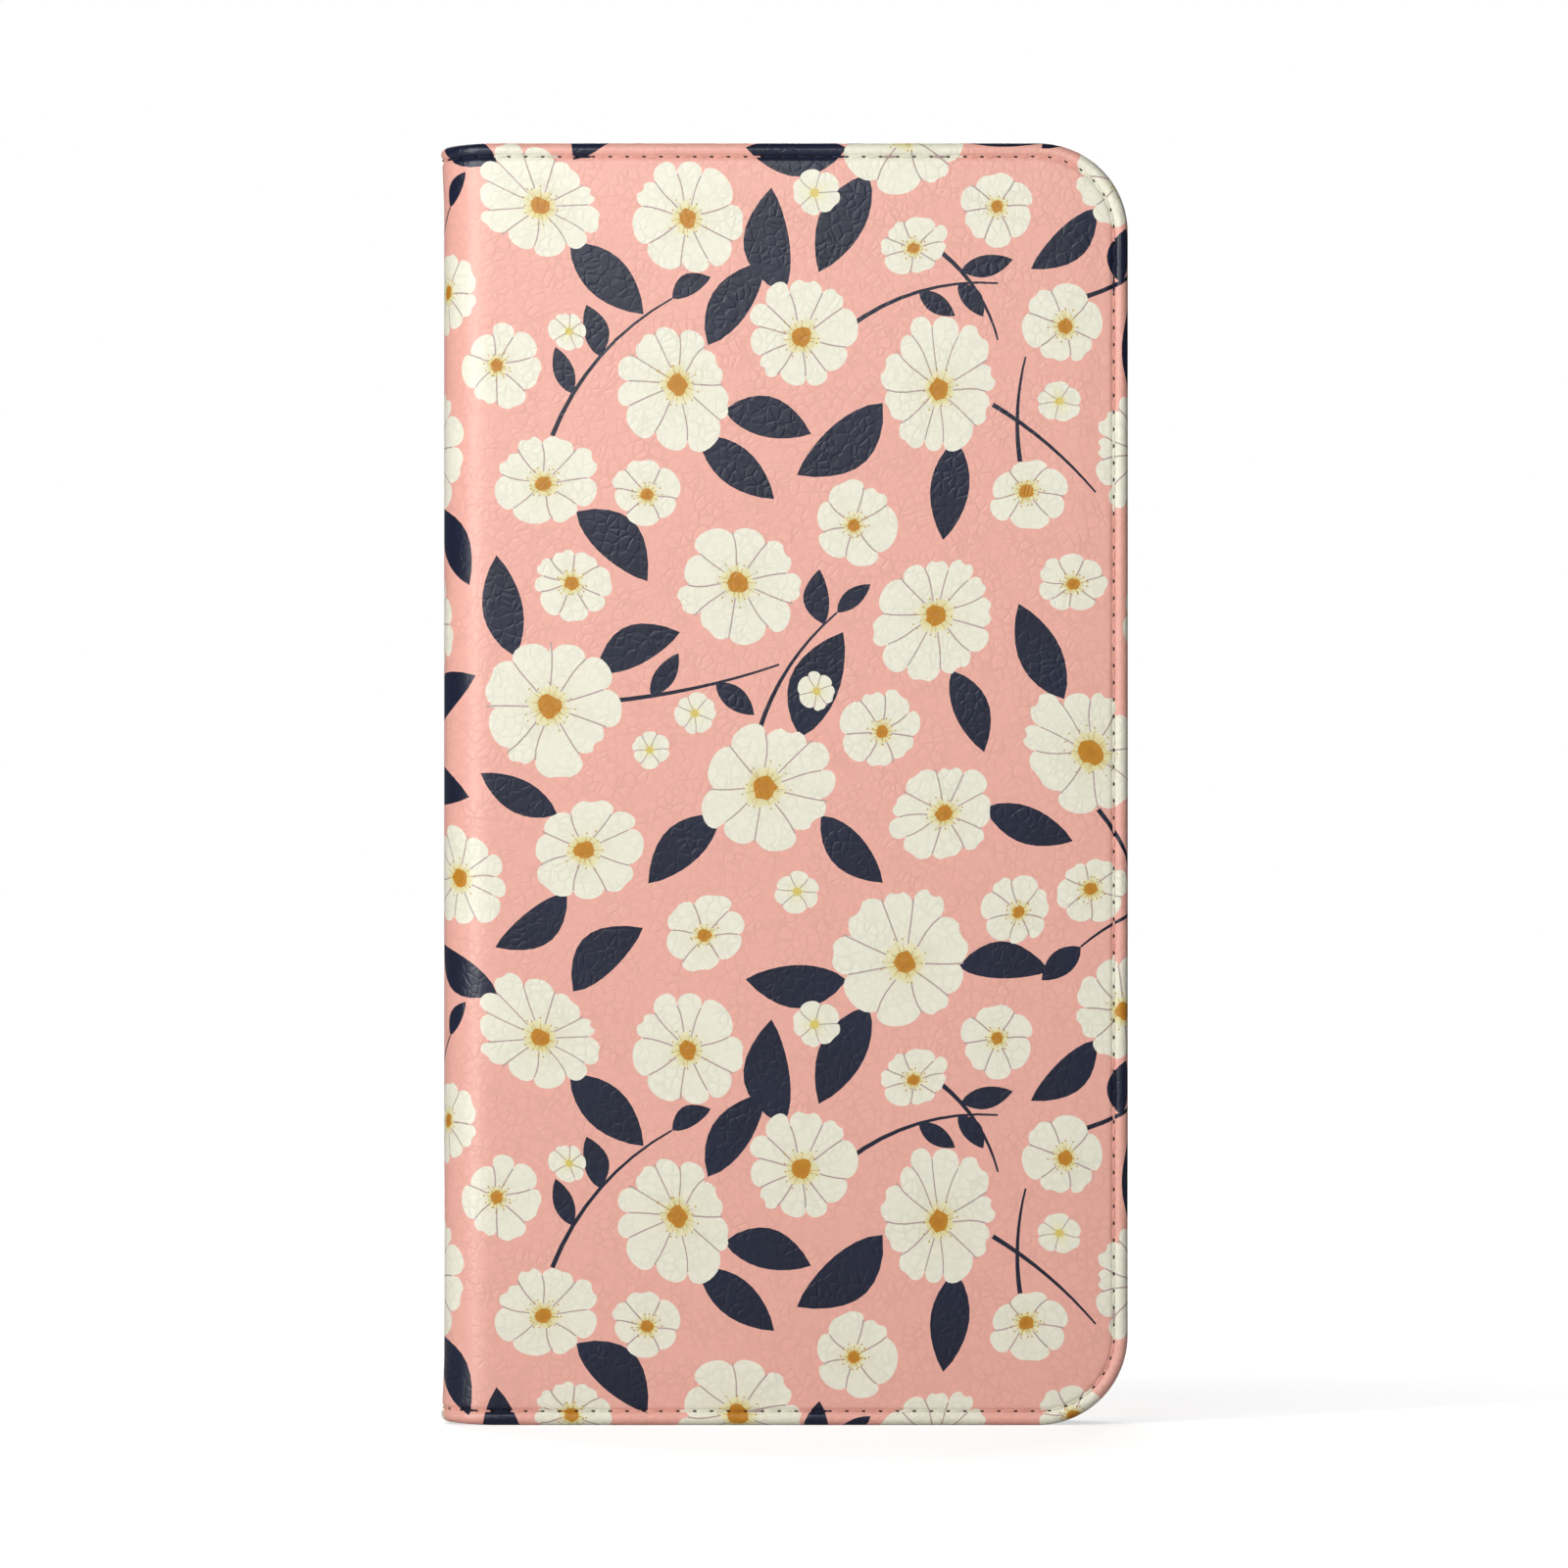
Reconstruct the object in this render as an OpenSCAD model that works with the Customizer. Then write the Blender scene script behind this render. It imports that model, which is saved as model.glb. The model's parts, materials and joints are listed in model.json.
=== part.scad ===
// Wallet folio phone case: a printed outer cover wrapped round a front board, a
// spine strip and a back board, with card pockets inside the front cover and a
// snap-in phone tray glued inside the back cover. All sizes are in millimetres.
// X runs from the spine to the free edge, Y from the front cover to the back
// cover, Z up the case. The origin is the middle of the bottom edge.

/* [Cover] */
// Height of the closed case
case_h = 165; // [164.5:0.5:175]
// Width of the closed case, spine to free edge
case_w = 88.5; // [88:0.5:100]
// Depth of the closed case, front cover to back cover
case_d = 17; // [16.8:0.1:22]
// Radius of the two free corners of each cover
corner_r = 11.6; // [6:0.2:14]
// Thickness of the printed outer leather
skin_t = 1.0; // [0.6:0.1:1.2]
// Thickness of the stiffener boards
board_t = 1.0; // [0.6:0.1:1.2]
// Thickness of the inner lining and of each pocket panel
lining_t = 0.4; // [0.3:0.05:0.5]

/* [Hinges] */
// Width across the front of the curved leather at the front hinge
front_bend_w = 7.2; // [6:0.2:9]
// Depth of the curved leather at the front hinge
front_bend_d = 5.0; // [4:0.2:6]
// Width across the back of the curved leather at the back hinge
back_bend_w = 5.0; // [4.4:0.2:6]
// Depth of the curved leather at the back hinge
back_bend_d = 4.5; // [4:0.1:5]

/* [Phone] */
// Width of the phone that the tray holds
phone_w = 78.1; // [70:0.1:78.2]
// Height of the phone that the tray holds
phone_h = 158.4; // [140:0.1:158.6]
// Depth of the phone that the tray holds
phone_d = 7.6; // [7:0.1:7.8]
// Radius of the phone's corners
phone_r = 9.5; // [7:0.5:11]

/* [Tray] */
// Thickness of the tray's side walls
wall_t = 1.4; // [1:0.1:1.5]
// Thickness of the tray's floor
floor_t = 1.2; // [0.8:0.1:1.4]
// How far the tray's lip reaches over the phone
lip_w = 1.0; // [0.6:0.1:1.5]
// Width of the camera hole
camera_w = 36; // [20:1:40]
// Height of the camera hole
camera_h = 18; // [14:1:24]

/* [Pockets] */
// Height of the card pockets
pocket_h = 94; // [90:1:110]
// Step from one card pocket's open edge to the next
pocket_step = 10; // [6:1:11]
// Reach of the outermost card pocket from the free edge
pocket_reach = 48; // [44:1:50]

/* [Stitching] */
// Distance of the stitch line from the edge
stitch_inset = 1.8; // [1.5:0.1:2.5]
// Width of the thread
thread_w = 0.5; // [0.4:0.05:0.6]

/* [Hidden] */
$fn = 64;

// Colours
pink = "#f2bcae";
charcoal = "#2c2c30";
grey_board = "#8f8a80";

// Places across the case, from the spine's outer face
x_spine = -case_w / 2;
x_free = case_w / 2;
hinge_gap = 0.3;
x_front0 = x_spine + front_bend_w + hinge_gap;
x_back0 = x_spine + back_bend_w;

// Places through the case, from the front cover's outer face
y_front = -case_d / 2;
y_back = case_d / 2;
y_front_board = y_front + skin_t;
y_front_lining = y_front_board + board_t;
y_pocket = y_front_lining + lining_t;
y_back_board = y_back - skin_t - board_t;
y_back_lining = y_back_board - lining_t;
lining_off = skin_t + board_t;

// Edges that sit back from the leather's turned edge
trim_inset = 0.6;
board_inset = skin_t;

// Front and back bends: the flat side is eased with this exponent
bend_ease = 2 / 2.4;
bend_step = 9;

// Tray: the pad glues it to the back lining
pad_t = 0.3;
fit_gap = 0.15;
cavity_w = phone_w + 2 * fit_gap;
cavity_h = phone_h + 2 * fit_gap;
cavity_d = phone_d + 0.2;
lip_t = 0.9;
tray_w = cavity_w + 2 * wall_t;
tray_h = cavity_h + 2 * wall_t;
tray_d = floor_t + cavity_d + lip_t;
tray_x0 = x_spine + 4.2;
tray_z0 = (case_h - tray_h) / 2;
tray_y1 = y_back_lining - pad_t;
tray_y0 = tray_y1 - tray_d;
tray_r = phone_r + wall_t;
tray_chamfer = 1.0;

// Wall cut-outs of the tray: each is [middle along the wall, length]
port_cut = [tray_x0 + tray_w / 2, 56];
volume_cut = [tray_z0 + 119, 40];
power_cut = [tray_z0 + 124, 18];

// Camera hole: its middle, and how much wider it is in the cover than in the tray
camera_x = tray_x0 + tray_w - wall_t - 6.5 - camera_w / 2;
camera_z = tray_z0 + tray_h - wall_t - 6.5 - camera_h / 2;
camera_r = 7;
camera_ease = 1;

// Bar magnets in the front board, and the steel keepers let into the inner face of the
// tray's wall at the free side
magnet_w = 4;
magnet_len = 20;
magnet_x0 = x_free - 6.6;
magnet_z = [0.28 * case_h, 0.6 * case_h];
keeper_t = 0.6;
keeper_d = 3;
keeper_x0 = tray_x0 + tray_w - wall_t;
keeper_y0 = tray_y0 + 1.4;

// Pockets
pocket_z0 = (case_h - pocket_h) / 2;
pocket_corner = 4;
cash_edge = x_front0 + 5;
thumb_r = 16;
thumb_depth = 5;

// Stitch grooves
groove_w = 0.8;
groove_d = 0.3;
thread_t = 0.25;
over = 1;

// ---- Shared shapes ----

// Extrudes an outline drawn in X and Z through the depth t, from the plane y0
module slab(y0, t) {
    translate([0, y0 + t, 0]) rotate([90, 0, 0]) linear_extrude(t) children();
}

// Rectangle with round corners of radius r, from its low corner
module round_rect(w, h, r) {
    translate([r, 0]) square([w - 2 * r, h]);
    translate([0, r]) square([w, h - 2 * r]);
    for (x = [r, w - r], z = [r, h - r]) translate([x, z]) circle(r);
}

// Cover outline from x0 to the free edge, set in from the edge, with round free corners
module cover_outline(x0, inset) {
    r = corner_r - inset;
    x1 = x_free - inset;
    translate([x0, inset]) square([x1 - r - x0, case_h - 2 * inset]);
    translate([x0, inset + r]) square([x1 - x0, case_h - 2 * inset - 2 * r]);
    for (z = [inset + r, case_h - inset - r]) translate([x1 - r, z]) circle(r);
}

// U-shaped band of the cover outline, between two insets, open at x0
module edge_band(x0, outer, inner) {
    difference() {
        cover_outline(x0, outer);
        cover_outline(x0 - over, inner);
    }
}

// Points of the bent leather at a depth off under its outer face, from the flat
// side to the spine side: w and d are the bend's width and depth
function bend(w, d, off) = [
    for (t = [0 : bend_step : 90])
        [w - (w - off) * pow(sin(t), bend_ease), d - (d - off) * cos(t)]
];
function turned(points) = [for (i = [len(points) - 1 : -1 : 0]) points[i]];

// Layer between two depths that runs round the front bend and along the spine
module spine_layer(off_a, off_b) {
    y_end = case_d - back_bend_d - hinge_gap;
    translate([x_spine, y_front]) polygon(concat(
        bend(front_bend_w, front_bend_d, off_a),
        [[off_a, y_end], [off_b, y_end]],
        turned(bend(front_bend_w, front_bend_d, off_b))
    ));
}

// Layer between two depths that runs round the back bend
module back_bend_layer(off_a, off_b) {
    translate([x_spine, y_back]) mirror([0, 1]) polygon(concat(
        bend(back_bend_w, back_bend_d, off_a),
        turned(bend(back_bend_w, back_bend_d, off_b))
    ));
}

// Extrudes a section drawn in X and Y from z0 upward
module rise(z0, h) {
    translate([0, 0, z0]) linear_extrude(h) children();
}

// Short pieces at the bottom and at the top, inset from each edge
module both_ends(inset, h) {
    rise(inset, h) children();
    rise(case_h - inset - h, h) children();
}

// Camera hole outline, grown all round
module camera_outline(grow) {
    translate([camera_x - camera_w / 2 - grow, camera_z - camera_h / 2 - grow])
        round_rect(camera_w + 2 * grow, camera_h + 2 * grow, camera_r + grow);
}

// Bars at the magnets' heights, from the corner x0, y0, of width w and depth d
module magnet_bars(x0, y0, w, d) {
    for (z = magnet_z) translate([x0, y0, z - magnet_len / 2]) cube([w, d, magnet_len]);
}

// ---- Front cover ----

module front_leather() {
    color(pink) difference() {
        union() {
            slab(y_front, skin_t) cover_outline(x_front0, 0);
            slab(y_front + skin_t, board_t) edge_band(x_front0, 0, skin_t);
        }
        slab(y_front - over, groove_d + over)
            edge_band(x_front0 - over, stitch_inset - groove_w / 2, stitch_inset + groove_w / 2);
    }
}

module front_board() {
    color(grey_board) difference() {
        slab(y_front_board, board_t) cover_outline(x_front0, board_inset);
        magnet_bars(magnet_x0, y_front_board - over, magnet_w, board_t + 2 * over);
    }
}

module front_lining() {
    color(charcoal) slab(y_front_lining, lining_t) cover_outline(x_front0, trim_inset);
}

module cash_pocket() {
    color(charcoal) slab(y_pocket, lining_t) cover_outline(cash_edge, trim_inset);
}

// Rows of thread along the top and bottom of the card pockets, sunk half into the
// outermost one. They reach the depth up in front of it.
module pocket_rows(up) {
    w = pocket_reach - pocket_corner - stitch_inset - 1;
    y1 = y_pocket + 4 * lining_t + thread_t / 2;
    for (z = [pocket_z0 + stitch_inset, pocket_z0 + pocket_h - stitch_inset])
        slab(y1 - thread_t, thread_t + up)
            translate([x_free - stitch_inset - 1 - w, z - thread_w / 2]) square([w, thread_w]);
}

// Card pocket n, counted from the lining: 1, 2 or 3. Its open edge faces the spine
// and has a shallow thumb scoop.
module card_pocket(n) {
    x0 = x_free - pocket_reach - (3 - n) * pocket_step;
    w = x_free - trim_inset - x0;
    color(charcoal) difference() {
        slab(y_pocket + n * lining_t, lining_t) difference() {
            translate([x0, pocket_z0]) round_rect(w, pocket_h, pocket_corner);
            translate([x0 - thumb_r + thumb_depth, case_h / 2]) circle(thumb_r);
        }
        pocket_rows(over);
    }
}

module front_magnets() {
    color("silver") magnet_bars(magnet_x0, y_front_board, magnet_w, board_t);
}

module front_stitching() {
    color("mistyrose") slab(y_front + groove_d - thread_t, thread_t)
        edge_band(x_front0, stitch_inset - thread_w / 2, stitch_inset + thread_w / 2);
}

module pocket_stitching() {
    color("dimgray") pocket_rows(0);
}

// ---- Spine ----

module spine_leather() {
    color(pink) difference() {
        union() {
            rise(0, case_h) spine_layer(0, skin_t);
            both_ends(0, skin_t) spine_layer(0, lining_off);
        }
        both_ends(stitch_inset - groove_w / 2, groove_w) spine_layer(-over, groove_d);
    }
}

module spine_board() {
    y0 = y_front + front_bend_d;
    h = case_h - 2 * board_inset;
    d = y_back - back_bend_d - hinge_gap - y0;
    color(grey_board) translate([x_spine + skin_t, y0, board_inset]) cube([board_t, d, h]);
}

module spine_lining() {
    color(charcoal) rise(trim_inset, case_h - 2 * trim_inset)
        spine_layer(lining_off, lining_off + lining_t);
}

module spine_stitching() {
    color("mistyrose") both_ends(stitch_inset - thread_w / 2, thread_w)
        spine_layer(groove_d - thread_t, groove_d);
}

// ---- Back cover ----

module back_leather() {
    color(pink) difference() {
        union() {
            slab(y_back - skin_t, skin_t) cover_outline(x_back0, 0);
            slab(y_back_board, board_t) edge_band(x_back0, 0, skin_t);
            rise(0, case_h) back_bend_layer(0, skin_t);
            both_ends(0, skin_t) back_bend_layer(0, lining_off);
        }
        slab(y_back - groove_d, groove_d + over)
            edge_band(x_back0 - over, stitch_inset - groove_w / 2, stitch_inset + groove_w / 2);
        both_ends(stitch_inset - groove_w / 2, groove_w) back_bend_layer(-over, groove_d);
        slab(y_back - skin_t - over, skin_t + 2 * over) camera_outline(camera_ease);
    }
}

module back_board() {
    color(grey_board) difference() {
        slab(y_back_board, board_t) cover_outline(x_back0, board_inset);
        slab(y_back_board - over, board_t + 2 * over) camera_outline(camera_ease);
    }
}

module back_lining() {
    color(charcoal) {
        difference() {
            slab(y_back_lining, lining_t) cover_outline(x_back0, trim_inset);
            slab(y_back_lining - over, lining_t + 2 * over) camera_outline(camera_ease);
        }
        rise(trim_inset, case_h - 2 * trim_inset)
            back_bend_layer(lining_off, lining_off + lining_t);
    }
}

module back_stitching() {
    color("mistyrose") {
        slab(y_back - groove_d, thread_t)
            edge_band(x_back0, stitch_inset - thread_w / 2, stitch_inset + thread_w / 2);
        both_ends(stitch_inset - thread_w / 2, thread_w)
            back_bend_layer(groove_d - thread_t, groove_d);
    }
}

// ---- Phone tray ----

module tray_outline(inset) {
    translate([tray_x0 + inset, tray_z0 + inset])
        round_rect(tray_w - 2 * inset, tray_h - 2 * inset, tray_r - inset);
}

module tray_adhesive() {
    pad_inset = 3;
    color("gainsboro") slab(tray_y1, pad_t) difference() {
        tray_outline(pad_inset);
        camera_outline(camera_ease);
    }
}

// Cuts through a side wall for the ports and buttons, open at the lip
module wall_cuts() {
    y0 = tray_y0 - over;
    d = tray_d - floor_t + over;
    through = wall_t + lip_w + 2 * over;
    x_right = tray_x0 + tray_w;
    translate([port_cut[0] - port_cut[1] / 2, y0, tray_z0 - over])
        cube([port_cut[1], d, through]);
    translate([tray_x0 - over, y0, volume_cut[0] - volume_cut[1] / 2])
        cube([through, d, volume_cut[1]]);
    translate([x_right + over - through, y0, power_cut[0] - power_cut[1] / 2])
        cube([through, d, power_cut[1]]);
}

// Chamfers along the long back edges
module tray_chamfers() {
    c = tray_chamfer;
    for (side = [[tray_x0, 1], [tray_x0 + tray_w, -1]])
        rise(tray_z0 - over, tray_h + 2 * over)
            polygon([
                [side[0] - side[1] * over, tray_y1 + over],
                [side[0] - side[1] * over, tray_y1 - c - over],
                [side[0] + side[1] * (c + over), tray_y1 + over]
            ]);
}

module phone_tray() {
    y_floor = tray_y1 - floor_t;
    color("#3a3a3e") difference() {
        slab(tray_y0, tray_d) tray_outline(0);
        slab(y_floor - cavity_d, cavity_d) tray_outline(wall_t);
        slab(tray_y0 - over, lip_t + 2 * over) tray_outline(wall_t + lip_w);
        slab(y_floor - over, floor_t + 2 * over) camera_outline(0);
        wall_cuts();
        tray_chamfers();
        magnet_bars(keeper_x0 - over, keeper_y0, keeper_t + over, keeper_d);
    }
}

module keeper_bars() {
    color("silver") magnet_bars(keeper_x0, keeper_y0, keeper_t, keeper_d);
}

front_leather();
front_board();
front_lining();
cash_pocket();
card_pocket(1);  // card_pocket_inner
card_pocket(2);  // card_pocket_middle
card_pocket(3);  // card_pocket_outer
front_magnets();
front_stitching();
pocket_stitching();
spine_leather();
spine_board();
spine_lining();
spine_stitching();
back_leather();
back_board();
back_lining();
back_stitching();
tray_adhesive();
phone_tray();
keeper_bars();
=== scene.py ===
"""Looks of a book-style wallet case for a phone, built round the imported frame.

The outer cover is one printed leather sheet that wraps the front board, the spine and
the back board. It is made here as two soft halves that meet at the middle of the spine,
each with one soft bend at its hinge. Inside are the microfibre lining, the leather card
pockets and the moulded phone tray. Sizes are in millimetres until a mesh is written.
"""

import json
import logging
import math
import random
from collections.abc import Callable, Iterable, Sequence
from dataclasses import dataclass, field
from enum import Enum

import bmesh
import bpy
import numpy as np
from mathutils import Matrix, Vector
from mathutils.bvhtree import BVHTree
from mathutils.geometry import delaunay_2d_cdt


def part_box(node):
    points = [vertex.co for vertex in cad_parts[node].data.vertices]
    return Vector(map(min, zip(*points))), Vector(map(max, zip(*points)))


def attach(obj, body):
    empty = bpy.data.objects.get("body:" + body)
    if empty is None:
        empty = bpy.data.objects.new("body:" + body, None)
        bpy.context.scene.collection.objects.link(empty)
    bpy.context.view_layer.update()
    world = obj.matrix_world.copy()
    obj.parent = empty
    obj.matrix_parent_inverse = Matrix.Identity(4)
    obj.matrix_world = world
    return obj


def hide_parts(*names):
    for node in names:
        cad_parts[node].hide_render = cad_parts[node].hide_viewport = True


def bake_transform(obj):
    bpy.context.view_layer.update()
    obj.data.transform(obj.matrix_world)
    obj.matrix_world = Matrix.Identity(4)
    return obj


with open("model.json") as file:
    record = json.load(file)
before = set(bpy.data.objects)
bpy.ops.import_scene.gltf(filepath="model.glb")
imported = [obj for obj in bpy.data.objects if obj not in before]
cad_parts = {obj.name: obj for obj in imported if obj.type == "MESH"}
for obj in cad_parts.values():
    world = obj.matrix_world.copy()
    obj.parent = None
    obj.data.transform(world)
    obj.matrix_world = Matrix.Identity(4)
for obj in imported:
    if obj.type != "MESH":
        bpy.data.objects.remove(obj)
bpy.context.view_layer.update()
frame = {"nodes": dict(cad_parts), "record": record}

MM = 0.001
TO_MM = 1000.0
THREAD_SINK = 0.02
PLAIN_TINT = (0.5, 0.5, 0.5)
LOG = logging.getLogger("wallet_case")

Point = tuple[float, float]
Colour = tuple[float, float, float]
Grid = np.ndarray


def linear(red: int, green: int, blue: int) -> Colour:
    """Turns a colour of 0 to 255 steps as a screen shows it into linear light.

    Args:
        red: Red step.
        green: Green step.
        blue: Blue step.

    Returns:
        The linear colour.
    """

    def channel(step: int) -> float:
        """Linear light of one channel."""
        share = step / 255
        return share / 12.92 if share <= 0.04045 else ((share + 0.055) / 1.055) ** 2.4

    return channel(red), channel(green), channel(blue)


def ease(share: Grid) -> Grid:
    """Smooth step from 0 to 1, flat at both ends."""
    t = np.clip(share, 0, 1)
    return t * t * (3 - 2 * t)


def box_mm(node: str) -> tuple[Grid, Grid]:
    """Lowest and highest corner of a CAD node, in millimetres."""
    low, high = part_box(node)
    return np.array(low) * TO_MM, np.array(high) * TO_MM


def opening_mm(name: str) -> tuple[Grid, Grid]:
    """Lowest and highest corner of an opening that the record states, in millimetres."""
    for entry in frame["record"]["physics"]["openings"]:
        if entry["name"] == name:
            return np.array(entry["box_m"][0]) * TO_MM, np.array(entry["box_m"][1]) * TO_MM
    raise KeyError(name)


def placed(name: str, data: bpy.types.ID) -> bpy.types.Object:
    """Puts a mesh, a lamp or a camera into the scene as a new object."""
    item = bpy.data.objects.new(name, data)
    bpy.context.scene.collection.objects.link(item)
    return item


def applied(piece: bpy.types.Object, modifier: bpy.types.Modifier) -> bpy.types.Mesh:
    """Makes a plain mesh of a piece as its modifier leaves it, and removes the modifier."""
    view = bpy.context.evaluated_depsgraph_get()
    mesh = bpy.data.meshes.new_from_object(piece.evaluated_get(view), depsgraph=view,
                                           preserve_all_data_layers=True)
    piece.modifiers.remove(modifier)
    return mesh


def joined_rings(first: int, rings: int, count: int) -> list[list[int]]:
    """Faces between closed rings of points.

    Args:
        first: Number of the first ring's first point.
        rings: How many rings there are.
        count: How many points each ring has.

    Returns:
        The four-sided faces, ring by ring.
    """
    faces = []
    for start in range(first, first + (rings - 1) * count, count):
        for i in range(count):
            a, b = start + i, start + (i + 1) % count
            faces.append([a, b, b + count, a + count])
    return faces


# ---------------------------------------------------------------------------
# Finishes
# ---------------------------------------------------------------------------


class Sockets:
    """Short way of adding and joining the nodes of one tree."""

    def __init__(self, tree: bpy.types.NodeTree) -> None:
        """Keeps the tree that the nodes go into."""
        self.tree = tree

    def add(self, kind: str, feeds: dict[str | int, object] | None = None,
            **settings: object) -> bpy.types.Node:
        """Adds a node.

        Args:
            kind: Blender's name for the node type.
            feeds: A socket or a value for each input, by the input's name or number.
            **settings: Properties set on the node.

        Returns:
            The new node.
        """
        node = self.tree.nodes.new(kind)
        for name, value in settings.items():
            setattr(node, name, value)
        for name, source in (feeds or {}).items():
            self.join(source, node.inputs[name])
        return node

    def join(self, source: object, target: object) -> None:
        """Links an output to an input, or sets the input where the source is a value."""
        if isinstance(source, bpy.types.NodeSocket):
            self.tree.links.new(source, target)
        else:
            target.default_value = source

    def maths(self, operation: str, *values: object) -> bpy.types.NodeSocket:
        """Adds a Math node and returns its output."""
        return self.add("ShaderNodeMath", dict(enumerate(values)), operation=operation).outputs[0]

    def vectors(self, operation: str, feeds: dict[str | int, object]) -> bpy.types.NodeSocket:
        """Adds a Vector Math node and returns its output."""
        return self.add("ShaderNodeVectorMath", feeds, operation=operation).outputs[0]

    def between(self, factor: object, low: object, high: object) -> bpy.types.NodeSocket:
        """Mixes two colours by a factor and returns the mixed colour."""
        return self.add("ShaderNodeMix", {"Factor": factor, 6: low, 7: high},
                        data_type="RGBA").outputs[2]

    def spread(self, feeds: dict[str | int, object], **settings: object) -> bpy.types.NodeSocket:
        """Stretches a value over a range and returns it."""
        return self.add("ShaderNodeMapRange", feeds, **settings).outputs["Result"]


def new_group(name: str, inputs: dict[str, float | None],
              outputs: Sequence[str]) -> tuple[Sockets, bpy.types.Node, bpy.types.Node]:
    """Starts a shader node group.

    Args:
        name: The group's name.
        inputs: Default value by input name, or None for a vector.
        outputs: Names of its outputs, which are numbers.

    Returns:
        The group's net, and the nodes of its inputs and its outputs.
    """
    group = bpy.data.node_groups.new(name, "ShaderNodeTree")
    for label, value in inputs.items():
        kind = "NodeSocketVector" if value is None else "NodeSocketFloat"
        socket = group.interface.new_socket(label, in_out="INPUT", socket_type=kind)
        if value is not None:
            socket.default_value = value
    for label in outputs:
        group.interface.new_socket(label, in_out="OUTPUT", socket_type="NodeSocketFloat")
    net = Sockets(group)
    return net, net.add("NodeGroupInput"), net.add("NodeGroupOutput")


def grain_group() -> bpy.types.NodeTree:
    """Builds the leather grain: rounded pebbles parted by thin wandering creases.

    Returns:
        A group that gives the grain's height and a mask of its creases, which the finishes use for
        painted shade.
    """
    drifts_per_metre, patches_per_metre, specks_per_metre = 420.0, 260.0, 5200.0
    dome_edge, least_depth, most_depth = 0.2, -0.5, 1.9
    net, given, result = new_group(
        "Leather Grain",
        {"Vector": None, "Pebbles per Metre": 900.0, "Wander": 0.0006, "Fine Share": 0.25},
        ("Height", "Creases"))
    place = given.outputs["Vector"]
    drift = net.add("ShaderNodeTexNoise", {"Scale": drifts_per_metre, "Detail": 2.0, "Vector": place})
    centred = net.vectors("SUBTRACT", {0: drift.outputs["Color"], 1: (0.5, 0.5, 0.5)})
    scaled = net.vectors("SCALE", {0: centred, "Scale": given.outputs["Wander"]})
    bent = net.vectors("ADD", {0: place, 1: scaled})
    cells = net.add("ShaderNodeTexVoronoi",
                    {"Vector": bent, "Scale": given.outputs["Pebbles per Metre"]},
                    feature="DISTANCE_TO_EDGE")
    domes = net.spread({"Value": cells.outputs["Distance"], "From Max": dome_edge},
                       interpolation_type="SMOOTHSTEP")
    patches = net.add("ShaderNodeTexNoise", {"Scale": patches_per_metre, "Vector": place})
    depth = net.spread({"Value": patches.outputs["Fac"], "To Min": least_depth, "To Max": most_depth})
    coarse = net.maths("MULTIPLY", domes, depth)
    fine = net.add("ShaderNodeTexNoise", {"Scale": specks_per_metre, "Detail": 3.0, "Vector": place})
    small = net.maths("MULTIPLY", fine.outputs["Fac"], given.outputs["Fine Share"])
    net.join(net.maths("ADD", coarse, small), result.inputs["Height"])
    gaps = net.maths("SUBTRACT", 1.0, domes)
    net.join(net.maths("MULTIPLY", gaps, depth), result.inputs["Creases"])
    return net.tree


def uneven_group() -> bpy.types.NodeTree:
    """Builds the slight unevenness of any handled surface.

    Returns:
        A group that gives a roughness near the one asked for and a slow mottle of 0 to 1.
    """
    net, given, result = new_group(
        "Uneven Surface",
        {"Vector": None, "Roughness": 0.5, "Swing": 0.05, "Patches per Metre": 60.0},
        ("Roughness", "Mottle"))
    slow = net.add("ShaderNodeTexNoise", {"Detail": 4.0, "Vector": given.outputs["Vector"],
                                          "Scale": given.outputs["Patches per Metre"]})
    centred = net.maths("SUBTRACT", slow.outputs["Fac"], 0.5)
    swing = net.maths("MULTIPLY", centred, given.outputs["Swing"])
    doubled = net.maths("MULTIPLY", swing, 2.0)
    net.join(net.maths("ADD", given.outputs["Roughness"], doubled), result.inputs["Roughness"])
    net.join(slow.outputs["Fac"], result.inputs["Mottle"])
    return net.tree


class Place(Enum):
    """What a finish's pattern is laid out on."""

    FLAT_SHEET = "flat"
    SOLID = "solid"


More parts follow.
